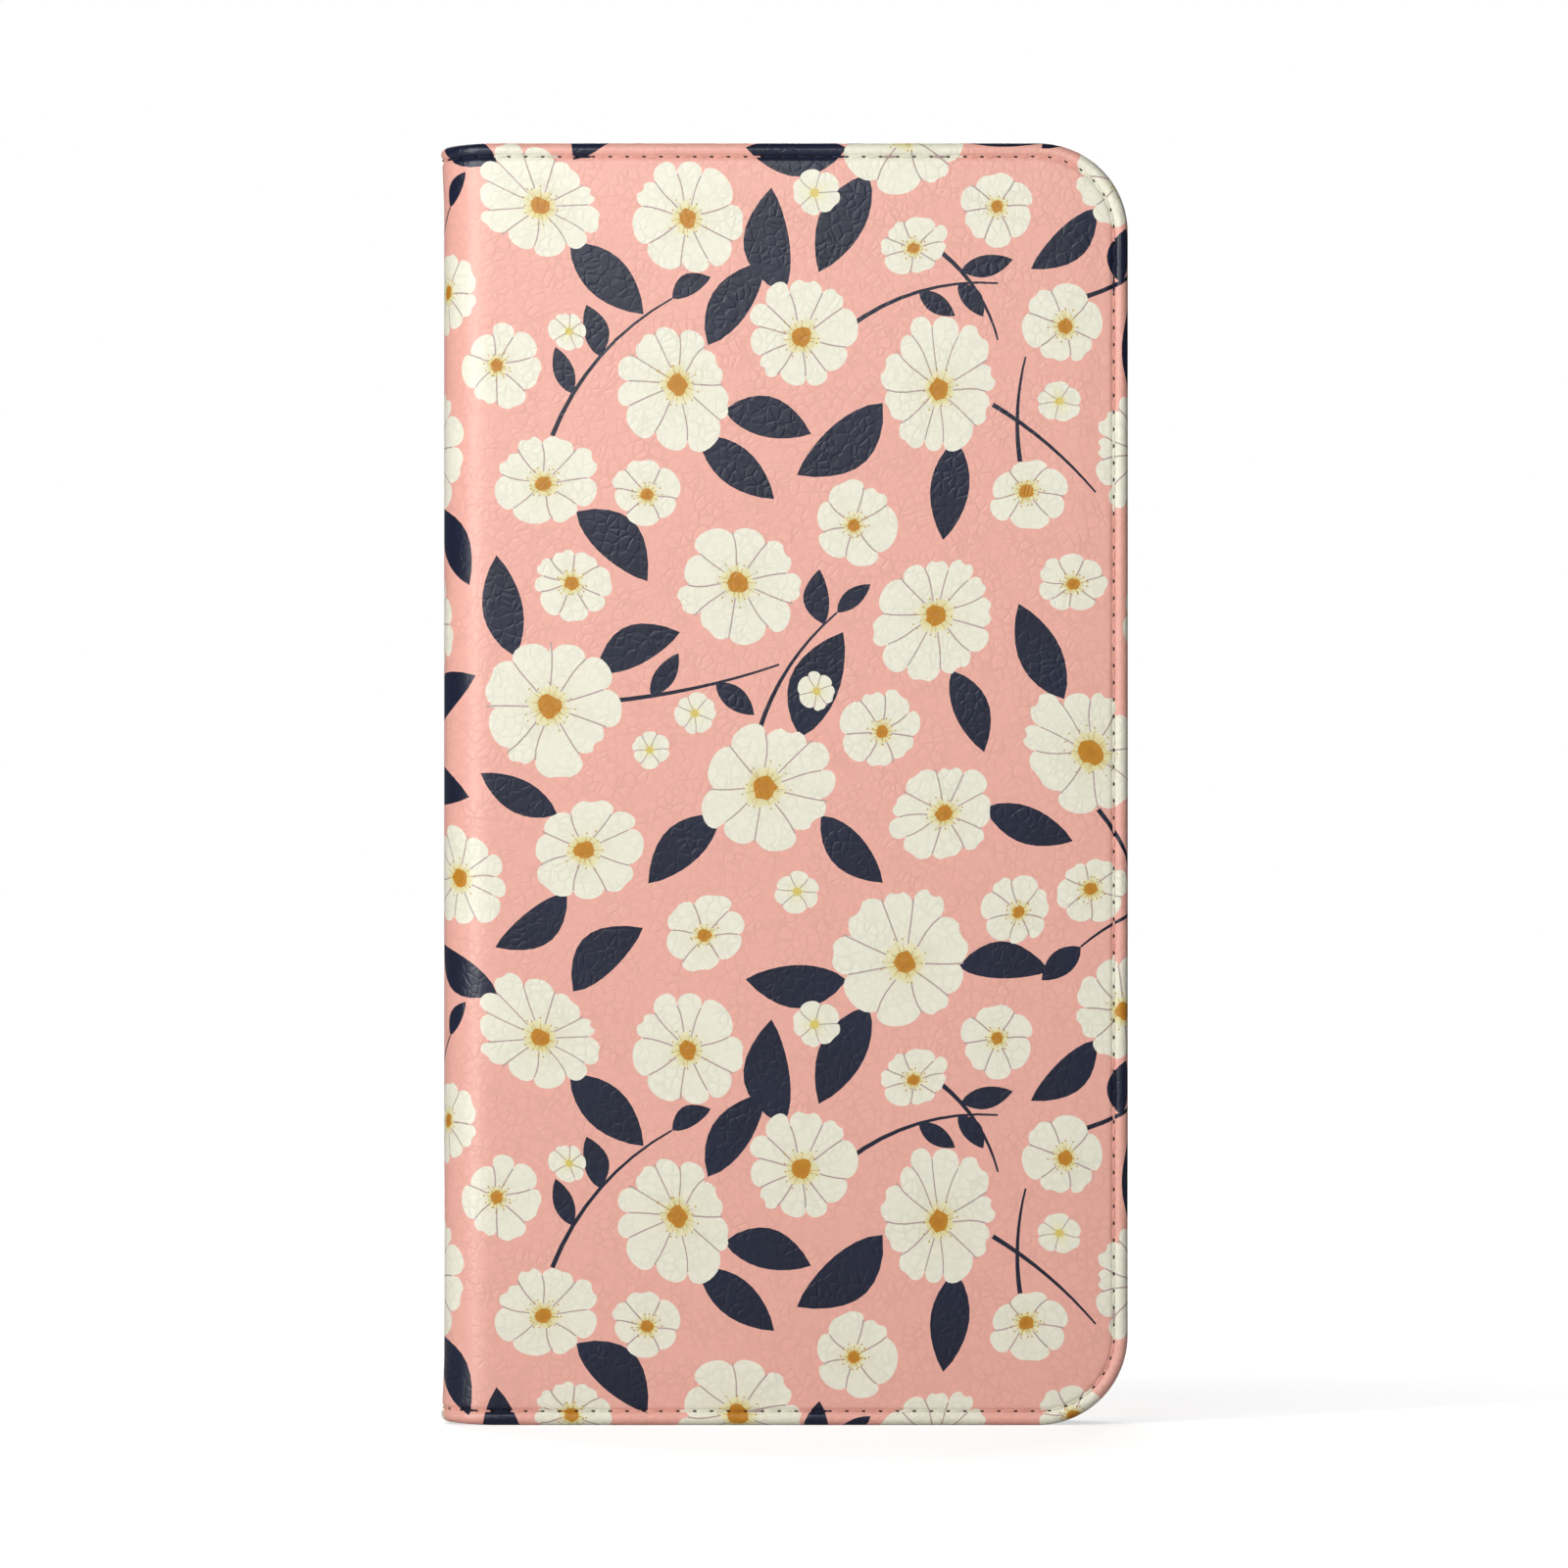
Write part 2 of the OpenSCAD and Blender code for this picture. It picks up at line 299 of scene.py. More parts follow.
@dataclass(frozen=True)
class Finish:
    """A surface: its colour, gloss and relief.

    Attributes:
        name: Name of the material.
        colour: Linear base colour, where no attribute gives it.
        attribute: Name of the colour attribute that gives the base colour, if any.
        roughness: Mean roughness.
        swing: How far the roughness wanders from its mean.
        mottle: How much darker the darkest patches are.
        place: What the pattern is laid out on.
        pebbles: Pebbles or texture grains per metre.
        wander: How far the creases wander, in metres.
        fine: Share of fine roughness in the relief.
        relief: Height of the relief, in metres.
        crease_shade: How much darker the grain's creases are painted: painted shade in the creases.
        metallic: Metallic share.
        specular: Specular level.
        sheen: Weight of the nap's sheen.
    """

    name: str
    colour: Colour = (0.5, 0.5, 0.5)
    attribute: str | None = None
    roughness: float = 0.5
    swing: float = 0.05
    mottle: float = 0.04
    place: Place = Place.SOLID
    pebbles: float = 900.0
    wander: float = 0.0006
    fine: float = 0.25
    relief: float = 0.00005
    crease_shade: float = 0.08
    metallic: float = 0.0
    specular: float = 0.5
    sheen: float = 0.0

    def build(self, grain: bpy.types.NodeTree, uneven: bpy.types.NodeTree) -> bpy.types.Material:
        """Builds the material.

        Args:
            grain: The leather grain group.
            uneven: The uneven surface group.

        Returns:
            The new material.
        """
        material = bpy.data.materials.new(self.name)
        material.use_nodes = True
        material.node_tree.nodes.clear()
        net = Sockets(material.node_tree)
        output = net.add("ShaderNodeOutputMaterial")
        shader = net.add("ShaderNodeBsdfPrincipled", {
            "Metallic": self.metallic, "Specular IOR Level": self.specular,
            "Sheen Weight": self.sheen})
        net.join(shader.outputs[0], output.inputs["Surface"])
        if self.place is Place.FLAT_SHEET:
            where = net.add("ShaderNodeUVMap", uv_map="flat").outputs["UV"]
        else:
            where = net.add("ShaderNodeTexCoord").outputs["Object"]
        pebbled = net.add("ShaderNodeGroup", {
            "Vector": where, "Pebbles per Metre": self.pebbles, "Wander": self.wander,
            "Fine Share": self.fine}, node_tree=grain)
        patchy = net.add("ShaderNodeGroup", {
            "Vector": where, "Roughness": self.roughness, "Swing": self.swing}, node_tree=uneven)
        if self.attribute:
            base = net.add("ShaderNodeAttribute", attribute_name=self.attribute).outputs["Color"]
        else:
            base = (*self.colour, 1.0)
        shade = net.maths("MULTIPLY", patchy.outputs["Mottle"], self.mottle)
        # The grain's creases are darkened in the base colour: painted shade in the creases, on top of
        # the bump's shading. The mottle is the surface's own random tone.
        creased = net.maths("MULTIPLY", pebbled.outputs["Creases"], self.crease_shade)
        total = net.maths("ADD", shade, creased)
        bump = net.add("ShaderNodeBump", {"Strength": 1.0, "Distance": self.relief,
                                          "Height": pebbled.outputs["Height"]})
        net.join(net.between(total, base, (0.0, 0.0, 0.0, 1.0)), shader.inputs["Base Color"])
        net.join(patchy.outputs["Roughness"], shader.inputs["Roughness"])
        net.join(bump.outputs["Normal"], shader.inputs["Normal"])
        return material


class FinishBook:
    """The case's finishes, each built once."""

    PRINTED = Finish("printed_leather", attribute="print", roughness=0.37, swing=0.03, mottle=0.05,
                     place=Place.FLAT_SHEET, pebbles=760.0, wander=0.001, relief=0.000026,
                     fine=0.1, crease_shade=0.07, specular=0.5)
    THREAD = Finish("printed_thread", attribute="print", roughness=0.6, mottle=0.1, pebbles=4200.0,
                    relief=0.00003, crease_shade=0.25, specular=0.35)
    # Needle holes: a dark colour on small beads, painted shade standing in for the shadow in each hole.
    NEEDLE_HOLE = Finish("needle_hole", colour=linear(38, 26, 24), roughness=0.9, specular=0.1,
                         pebbles=5000.0, relief=0.00002)
    LINING = Finish("black_microfibre", colour=linear(37, 37, 41), roughness=0.92, swing=0.06,
                    mottle=0.25, place=Place.FLAT_SHEET, pebbles=2600.0, wander=0.0012, fine=1.2,
                    relief=0.00004, crease_shade=0.2, specular=0.2, sheen=0.25)
    POCKET = Finish("black_pocket_leather", colour=linear(34, 33, 36), roughness=0.52, mottle=0.2,
                    pebbles=1500.0, wander=0.0004, relief=0.00005, crease_shade=0.25, specular=0.45)
    INNER_THREAD = Finish("black_thread", colour=linear(52, 51, 55), roughness=0.65, pebbles=4200.0,
                          relief=0.00003, crease_shade=0.4, specular=0.35)
    TRAY = Finish("satin_black_plastic", colour=linear(33, 33, 35), roughness=0.42, swing=0.012,
                  mottle=0.05, pebbles=7000.0, wander=0.0001, fine=0.8, relief=0.000012,
                  crease_shade=0.05, specular=0.5)
    BOARD = Finish("grey_board", colour=linear(150, 143, 130), roughness=0.95, mottle=0.2,
                   pebbles=3000.0, fine=1.0, relief=0.00003, crease_shade=0.2, specular=0.2)
    STEEL = Finish("plain_steel", colour=linear(168, 168, 172), roughness=0.33, metallic=1.0,
                   pebbles=6000.0, fine=0.6, relief=0.000006, crease_shade=0.05)
    MAGNET = Finish("magnet_nickel", colour=linear(176, 172, 162), roughness=0.28, metallic=1.0,
                    pebbles=6000.0, fine=0.6, relief=0.000006, crease_shade=0.05)
    FOAM = Finish("foam_tape", colour=linear(196, 196, 190), roughness=0.9, mottle=0.15,
                  pebbles=5200.0, relief=0.00003, crease_shade=0.3, specular=0.2)

    def __init__(self) -> None:
        """Builds the shared groups and starts with no materials."""
        self.grain = grain_group()
        self.uneven = uneven_group()
        self.made: dict[str, bpy.types.Material] = {}

    def get(self, finish: Finish) -> bpy.types.Material:
        """Gives the material of a finish, building it the first time."""
        if finish.name not in self.made:
            self.made[finish.name] = finish.build(self.grain, self.uneven)
        return self.made[finish.name]


# ---------------------------------------------------------------------------
# The printed pattern
# ---------------------------------------------------------------------------


@dataclass(frozen=True)
class Patch:
    """One flat patch of printed colour, fading from its centre outwards."""

    points: list[Point]
    inner: Colour
    outer: Colour
    centre: Point
    reach: float

    def moved(self, du: float, dv: float) -> "Patch":
        """The same patch, shifted."""
        return Patch([(x + du, y + dv) for x, y in self.points], self.inner, self.outer,
                     (self.centre[0] + du, self.centre[1] + dv), self.reach)


class Inks:
    """The print's colours."""

    GROUND = linear(243, 180, 165)
    PETAL = linear(243, 240, 221)
    PETAL_BASE = linear(236, 232, 207)
    PETAL_LINE = linear(186, 164, 160)
    HALO = linear(240, 235, 196)
    FRINGE = linear(222, 200, 96)
    STAMEN = linear(196, 158, 40)
    HEART = linear(198, 134, 30)
    HEART_DEEP = linear(182, 110, 26)
    LEAF = linear(21, 28, 54)
    LEAF_DEEP = linear(17, 24, 48)
    BUD = linear(240, 234, 184)


class Bloom(Enum):
    """Sizes of the printed flowers: radius, spread of the radius, fewest and most petals."""

    LARGE = (9.2, 0.6, 9, 12)
    MIDDLE = (7.5, 0.5, 8, 10)
    SMALL = (5.2, 0.5, 6, 8)
    BUD = (2.9, 0.3, 5, 6)


@dataclass
class FlowerPrint:
    """A repeat of scattered flowers, leaves and sprigs, which tiles in both directions.

    Attributes:
        width: Width of the repeat, in millimetres.
        height: Height of the repeat, in millimetres.
        seed: Seed of the scatter.
        counts: How many flowers of each size.
        leaf_tries: Places tried for each large leaf.
        leaf_length: Shortest and longest large leaf.
        leaf_share: Slimmest and widest large leaf, as a share of its length.
        sprigs: Sprigs tried.
        sprig_length: Shortest and longest sprig.
        sprig_leaf: Shortest and longest leaf of a sprig.
        stem_width: Width of a stem where it starts.
    """

    width: float = 98.0
    height: float = 107.0
    seed: int = 12
    counts: dict[Bloom, int] = field(default_factory=lambda: {
        Bloom.LARGE: 10, Bloom.MIDDLE: 8, Bloom.SMALL: 14, Bloom.BUD: 7})
    leaf_tries: int = 40
    leaf_length: Point = (11.2, 14.8)
    leaf_share: Point = (0.38, 0.46)
    sprigs: int = 26
    sprig_length: Point = (13.0, 24.0)
    sprig_leaf: Point = (5.0, 7.6)
    stem_width: float = 0.62

    def __post_init__(self) -> None:
        """Scatters the flowers and hangs the leaves and sprigs on them."""
        self.rng = random.Random(self.seed)
        self.taken = np.zeros((int(self.width) * 2, int(self.height) * 2), bool)
        self.greens: list[Patch] = []
        self.whites: list[Patch] = []
        self.blooms = self.scatter()
        for x, y, radius, _ in self.blooms:
            self.take(x, y, radius * 0.97)
        for bloom in list(self.blooms):
            if bloom[3] in (Bloom.LARGE, Bloom.MIDDLE):
                self.hang_leaves(bloom)
        for _ in range(self.sprigs):
            self.hang_sprig()
        for x, y, radius, kind in self.blooms:
            self.draw_bloom(x, y, radius, kind)

    def gap(self, x: float, y: float, other: tuple[float, float, float, Bloom]) -> float:
        """Distance from a point to a flower's rim, on the tiled sheet."""
        dx = (x - other[0] + self.width / 2) % self.width - self.width / 2
        dy = (y - other[1] + self.height / 2) % self.height - self.height / 2
        return math.hypot(dx, dy) - other[2]

    def scatter(self) -> list[tuple[float, float, float, Bloom]]:
        """Places the flowers, each at the freest of many tried places.

        Returns:
            Each flower's centre, radius and kind.
        """
        placed: list[tuple[float, float, float, Bloom]] = []
        for kind, count in self.counts.items():
            mean, swing, _, _ = kind.value
            for _ in range(count):
                radius = mean + self.rng.uniform(-swing, swing)
                best, best_gap = (0.0, 0.0), -1e9
                for _ in range(60):
                    x = self.rng.uniform(0, self.width)
                    y = self.rng.uniform(0, self.height)
                    room = min([self.gap(x, y, o) - radius for o in placed], default=1.0)
                    ideal = {Bloom.LARGE: 9.0, Bloom.MIDDLE: 2.4}.get(kind, 1.2)
                    score = min(room, ideal) + self.rng.uniform(0, 0.4)
                    if score > best_gap:
                        best, best_gap = (x, y), score
                placed.append((*best, radius, kind))
        return placed

    def cell(self, x: float, y: float) -> tuple[int, int]:
        """The half-millimetre cell of a place on the tiled sheet."""
        return int(x * 2) % self.taken.shape[0], int(y * 2) % self.taken.shape[1]

    def take(self, x: float, y: float, radius: float) -> None:
        """Marks a disc as taken."""
        steps = int(radius * 2) + 1
        for i in range(-steps, steps + 1):
            for j in range(-steps, steps + 1):
                if math.hypot(i, j) <= radius * 2:
                    self.taken[self.cell(x + i / 2, y + j / 2)] = True

    def crowding(self, points: Iterable[Point]) -> int:
        """How many of the points lie on cells that are taken."""
        return sum(bool(self.taken[self.cell(x, y)]) for x, y in points)

    def leaf_points(self, x: float, y: float, angle: float, length: float, width: float,
                    bow: float) -> list[Point]:
        """Outline of a pointed leaf.

        Args:
            x: Place of its stalk end.
            y: Place of its stalk end.
            angle: Direction of its tip.
            length: Length.
            width: Greatest width.
            bow: Sideways bow of its middle line, as a share of its length.

        Returns:
            The outline, anticlockwise.
        """
        stations = 9
        left: list[Point] = []
        right: list[Point] = []
        for i in range(stations + 1):
            t = i / stations
            half = width / 2 * math.sin(math.pi * t ** 0.92) ** 0.82
            across = bow * length * math.sin(math.pi * t)
            left.append((t * length, across + half * 1.12))
            right.append((t * length, across - half * 0.88))
        outline = right + left[-2:0:-1]
        c, s = math.cos(angle), math.sin(angle)
        return [(x + a * c - b * s, y + a * s + b * c) for a, b in outline]

    def add_leaf(self, x: float, y: float, angle: float, length: float, width: float) -> None:
        """Draws a leaf and marks its place."""
        bow = self.rng.uniform(-0.09, 0.09)
        points = self.leaf_points(x, y, angle, length, width, bow)
        tip = (x + math.cos(angle) * length, y + math.sin(angle) * length)
        self.greens.append(Patch(points, Inks.LEAF, Inks.LEAF_DEEP, (x, y), length))
        for share in (0.2, 0.35, 0.5, 0.65, 0.8, 0.95):
            px, py = x + (tip[0] - x) * share, y + (tip[1] - y) * share
            self.take(px, py, width * 0.5 * math.sin(math.pi * share) + 0.6)

    def leaf_probe(self, x: float, y: float, angle: float, length: float, width: float) -> list[Point]:
        """Points to test before a leaf is put down."""
        c, s = math.cos(angle), math.sin(angle)
        probe = []
        for share in (0.3, 0.5, 0.7, 0.9, 1.05):
            for side in (-0.5, 0.0, 0.5):
                b = side * width
                probe.append((x + c * length * share - s * b, y + s * length * share + c * b))
        return probe

    def hang_leaves(self, bloom: tuple[float, float, float, Bloom]) -> None:
        """Hangs up to three large leaves behind a flower, where there is room."""
        x, y, radius, _ = bloom
        for _ in range(3):
            length = self.rng.uniform(*self.leaf_length)
            width = length * self.rng.uniform(*self.leaf_share)
            options = []
            for _ in range(self.leaf_tries):
                turn = self.rng.uniform(0, math.tau)
                angle = turn + self.rng.uniform(-0.5, 0.5)
                bx, by = x + math.cos(turn) * radius * 0.8, y + math.sin(turn) * radius * 0.8
                crowd = self.crowding(self.leaf_probe(bx, by, angle, length, width)[3:])
                options.append((crowd, bx, by, angle))
            crowd, bx, by, angle = min(options)
            if crowd <= 1:
                self.add_leaf(bx, by, angle, length, width)

    def stem_patch(self, path: Sequence[Point], width: float) -> Patch:
        """A thin stem along a path, tapering to its end."""
        left, right = [], []
        for i, (x, y) in enumerate(path):
            ax, ay = path[max(i - 1, 0)]
            bx, by = path[min(i + 1, len(path) - 1)]
            size = math.hypot(bx - ax, by - ay) or 1.0
            half = width / 2 * (1 - 0.6 * i / (len(path) - 1))
            ox, oy = -(by - ay) / size * half, (bx - ax) / size * half
            left.append((x + ox, y + oy))
            right.append((x - ox, y - oy))
        return Patch(right + left[::-1], Inks.LEAF_DEEP, Inks.LEAF_DEEP, path[0], 50.0)

    def stem_path(self, x: float, y: float, angle: float, length: float, turn: float) -> list[Point]:
        """Points along a stem that curves evenly."""
        path = [(x, y)]
        steps = 8
        for i in range(steps):
            heading = angle + turn * (i + 0.5) / steps
            x += math.cos(heading) * length / steps
            y += math.sin(heading) * length / steps
            path.append((x, y))
        return path

    def hang_sprig(self) -> None:
        """Grows a sprig of small leaves into the emptiest gap among many tried."""
        best = None
        for _ in range(50):
            x, y, radius, kind = self.rng.choice(self.blooms)
            turn_at = self.rng.uniform(0, math.tau)
            start = (x + math.cos(turn_at) * radius * 0.8, y + math.sin(turn_at) * radius * 0.8)
            angle = turn_at + self.rng.uniform(-0.6, 0.6)
            length = self.rng.uniform(*self.sprig_length)
            turn = self.rng.uniform(-0.9, 0.9)
            path = self.stem_path(*start, angle, length, turn)
            probe = [p for i, p in enumerate(path) if i > 1]
            side = [(p[0] + s * math.sin(angle) * 2.6, p[1] - s * math.cos(angle) * 2.6)
                    for p in probe for s in (-1, 1)]
            crowd = self.crowding(probe) * 3 + self.crowding(side)
            score = (crowd - length * 0.12, path, angle, turn, length)
            if best is None or score[0] < best[0]:
                best = score
        crowd, path, angle, turn, length = best
        if crowd > 4:
            return
        self.greens.append(self.stem_patch(path, self.stem_width))
        side = self.rng.choice((-1, 1))
        for i in range(2, len(path)):
            px, py = path[i]
            heading = angle + turn * i / (len(path) - 1)
            if i == len(path) - 1:
                lean = 0.0
            else:
                lean = side * self.rng.uniform(0.75, 1.05)
            size = self.rng.uniform(*self.sprig_leaf)
            probe = self.leaf_probe(px, py, heading + lean, size, size * 0.42)
            if self.crowding(probe) <= 3 and (i % 2 == 0 or i == len(path) - 1
                                              or self.rng.random() < 0.45):
                self.add_leaf(px, py, heading + lean, size, size * self.rng.uniform(0.4, 0.5))
            side = -side
        for px, py in path:
            self.take(px, py, 0.7)

    def draw_bloom(self, x: float, y: float, radius: float, kind: Bloom) -> None:
        """Draws one flower: petals, the lines between them, stamens and heart.

        Args:
            x: Centre.
            y: Centre.
            radius: Length of a petal from the centre.
            kind: Size of the flower.
        """
        rng = self.rng
        petals = rng.randint(kind.value[2], kind.value[3])
        shares = [1 + rng.uniform(-0.32, 0.32) for _ in range(petals)]
        total = sum(shares)
        start = rng.uniform(0, math.tau)
        squeeze = rng.uniform(0.8, 1.0)
        lean = rng.uniform(0, math.pi)
        shift = (rng.uniform(-0.1, 0.1) * radius, rng.uniform(-0.1, 0.1) * radius)

        def at(angle: float, distance: float) -> Point:
            """A place in the flower, seen a little from the side."""
            a, b = distance * math.cos(angle - lean), distance * math.sin(angle - lean) * squeeze
            return (x + shift[0] * (1 - distance / radius) + a * math.cos(lean) - b * math.sin(lean),
                    y + shift[1] * (1 - distance / radius) + a * math.sin(lean) + b * math.cos(lean))

        rim: list[Point] = []
        seams: list[tuple[float, float]] = []
        angle = start
        for share in shares:
            span = share / total * math.tau
            length = radius * (1 + rng.uniform(-0.13, 0.03))
            notch = rng.choice((0.0, 0.0, 0.045, 0.08)) * radius
            tilt = rng.uniform(-0.06, 0.06)
            valley = radius * rng.uniform(0.74, 0.88)
            seams.append((angle, valley))
            rim.append(at(angle, valley))
            for across in (-0.93, -0.8, -0.6, -0.36, -0.12, 0.12, 0.36, 0.6, 0.8, 0.93):
                out = length * (0.8 + 0.2 * (1 - abs(across) ** 2.6) ** 0.6)
                out -= notch * math.exp(-((across / 0.2) ** 2)) - tilt * radius * across
                rim.append(at(angle + span * (across + 1) / 2, out))
            angle += span
        middle = (x + shift[0], y + shift[1])
        base, full = (Inks.PETAL_BASE, Inks.PETAL) if kind is not Bloom.BUD else (Inks.BUD, Inks.PETAL)
        self.whites.append(Patch(rim, base, full, middle, radius * 0.62))
        for seam, valley in seams:
            sway = rng.uniform(-0.07, 0.07)
            line: list[Point] = []
            back: list[Point] = []
            width = 0.1 if kind is not Bloom.BUD else 0.07
            for step in range(5):
                out = radius * 0.2 + (valley - radius * 0.2) * step / 4
                bend = seam + sway * math.sin(math.pi * step / 4)
                line.append(at(bend + width / out, out))
                back.append(at(bend - width / out, out))
            self.whites.append(Patch(back + line[::-1], Inks.PETAL_LINE, Inks.PETAL_LINE,
                                     middle, radius))
        if kind is Bloom.BUD:
            heart = [at(a * math.tau / 8, radius * 0.2) for a in range(8)]
            self.whites.append(Patch(heart, Inks.FRINGE, Inks.HALO, middle, radius))
            return
        ring = radius * rng.uniform(0.15, 0.19)
        halo = [at(a * math.tau / 20, ring * rng.uniform(1.35, 1.95)) for a in range(20)]
        self.whites.append(Patch(halo, Inks.FRINGE, Inks.HALO, middle, ring * 1.9))
        strokes = rng.randint(12, 18)
        for i in range(strokes):
            turn = i / strokes * math.tau + rng.uniform(-0.2, 0.2)
            out = ring * rng.uniform(1.5, 2.25)
            half = 0.075 / ring
            self.whites.append(Patch([at(turn - half, ring * 0.8), at(turn + 0.02, out),
                                      at(turn + half, ring * 0.8)],
                                     Inks.STAMEN, Inks.STAMEN, middle, radius))
            tip = at(turn + 0.02, out)
            dot = [(tip[0] + 0.13 * math.cos(a), tip[1] + 0.13 * math.sin(a))
                   for a in (0.4, 1.7, 2.9, 4.2, 5.4)]
            self.whites.append(Patch(dot, Inks.STAMEN, Inks.STAMEN, middle, radius))
        heart = [at(a * math.tau / 14, ring * rng.uniform(0.84, 1.12)) for a in range(14)]
        self.whites.append(Patch(heart, Inks.HEART, Inks.HEART, middle, radius))
        deep = [at(a * math.tau / 9 + 0.3, ring * rng.uniform(0.4, 0.7)) for a in range(9)]
        self.whites.append(Patch(deep, Inks.HEART_DEEP, Inks.HEART, middle, ring * 0.7))

    def over(self, low_u: float, high_u: float, low_v: float, high_v: float) -> list[Patch]:
        """Lays the repeat over an area.

        Args:
            low_u: Lowest place along the sheet.
            high_u: Highest place along the sheet.
            low_v: Lowest place up the sheet.
            high_v: Highest place up the sheet.

        Returns:
            The patches that touch the area, lowest first.
        """
        found: list[Patch] = []
        for layer in (self.greens, self.whites):
            for patch in layer:
                us = [p[0] for p in patch.points]
                vs = [p[1] for p in patch.points]
                for i in range(math.floor((low_u - max(us)) / self.width),
                               math.ceil((high_u - min(us)) / self.width) + 1):
                    for j in range(math.floor((low_v - max(vs)) / self.height),
                                   math.ceil((high_v - min(vs)) / self.height) + 1):
                        du, dv = i * self.width, j * self.height
                        if (max(us) + du > low_u and min(us) + du < high_u
                                and max(vs) + dv > low_v and min(vs) + dv < high_v):
                            found.append(patch.moved(du, dv))
        return found


# ---------------------------------------------------------------------------
# The folded sheet
# ---------------------------------------------------------------------------


@dataclass
class FoldProfile:
    """How one half of the cover runs: half of the spine, a soft bend, then a flat cover.

    Attributes:
        spine_x: Place of the spine's outer face.
        face_y: Place of the cover's outer face.
        inward: +1 where the inside of the case is at higher Y, else -1.
        run: Length from the spine's middle to the bend.
        across: Width of the bend, along the cover.
        deep: Depth of the bend, along the spine.
        free_x: Place of the free edge.
        height: Height of the case.
    """

    spine_x: float
    face_y: float
    inward: int
    run: float
    across: float
    deep: float
    free_x: float
    height: float
    waist: float = 0.42
    waist_reach: float = 8.5
    dip: float = 0.35
    ease_power: float = 2 / 2.4

    def __post_init__(self) -> None:
        """Tables the profile by the length along it."""
        turn = np.linspace(math.pi / 2, 0, 500)
        bend_x = self.across - self.across * np.sin(turn) ** self.ease_power
        bend_k = self.deep - self.deep * np.cos(turn)
        xs = np.concatenate([[0.0], bend_x, [self.free_x - self.spine_x + 20]])
        ks = np.concatenate([[self.deep + self.run], bend_k, [0.0]])
        steps = np.hypot(np.diff(xs), np.diff(ks))
        self.table_s = np.concatenate([[0.0], np.cumsum(steps)])
        self.table_x, self.table_k = xs, ks
        mid_s = (self.table_s[1:] + self.table_s[:-1]) / 2
        tx, tk = np.diff(xs) / np.maximum(steps, 1e-9), np.diff(ks) / np.maximum(steps, 1e-9)
        keep = steps > 1e-7
        self.normal_s = mid_s[keep]
        self.normal_x, self.normal_k = tk[keep], -tx[keep]
        self.bend_length = float(self.table_s[-2] - self.table_s[1])
        self.bend_end = self.run + self.bend_length
        self.reach = float(self.table_s[-2] + (self.free_x - self.spine_x - self.across))

    def spine_share(self, u: Grid) -> Grid:
        """1 on the spine, falling to 0 where the bend meets the cover."""
        return 1 - ease((u - self.run) / self.bend_length)

    def place(self, u: Grid, v: Grid, depth: Grid) -> Grid:
        """Puts points of the flat sheet into the folded case.

        Args:
            u: Length along the sheet from the spine's middle.
            v: Height up the sheet.
            depth: Depth under the cover's outer face.

        Returns:
            The places, in millimetres.
        """
        share = self.spine_share(u)
        from_end = np.minimum(v, self.height - v)
        depth = depth + self.waist * share * ease(from_end / self.waist_reach)
        z = self.height / 2 + (v - self.height / 2) * (1 - 2 * self.dip * share / self.height)
        x = np.interp(u, self.table_s, self.table_x)
        k = np.interp(u, self.table_s, self.table_k)
        nx = np.interp(u, self.normal_s, self.normal_x)
        nk = np.interp(u, self.normal_s, self.normal_k)
        size = np.hypot(nx, nk)
        x, k = x - nx / size * depth, k - nk / size * depth
        return np.stack([self.spine_x + x, self.face_y + self.inward * k, z], axis=-1)

    def u_at(self, x: float) -> float:
        """Length along the sheet of a place on the flat cover."""
        return self.bend_end + (x - self.spine_x - self.across)


@dataclass
class RoundHole:
    """A hole with round corners in the flat sheet."""

    u: float
    v: float
    half_u: float
    half_v: float
    radius: float

    def nearest(self, u: Grid, v: Grid) -> tuple[Grid, Grid, Grid]:
        """Distance outside the hole, and the direction towards it."""
        du, dv = u - self.u, v - self.v
        qu = np.abs(du) - (self.half_u - self.radius)
        qv = np.abs(dv) - (self.half_v - self.radius)
        pu, pv = np.maximum(qu, 0), np.maximum(qv, 0)
        size = np.maximum(np.hypot(pu, pv), 1e-9)
        return size - self.radius, -np.sign(du) * pu / size, -np.sign(dv) * pv / size

    def loop(self, distance: float, steps: int = 20) -> list[Point]:
        """Closed loop at a distance outside the hole, anticlockwise."""
        radius = self.radius + distance
        points: list[Point] = []
        for quarter, (su, sv) in enumerate(((1, 1), (-1, 1), (-1, -1), (1, -1))):
            for i in range(steps + 1):
                angle = (quarter + i / steps) * math.pi / 2
                points.append((self.u + su * (self.half_u - self.radius) + radius * math.cos(angle),
                               self.v + sv * (self.half_v - self.radius) + radius * math.sin(angle)))
        return points


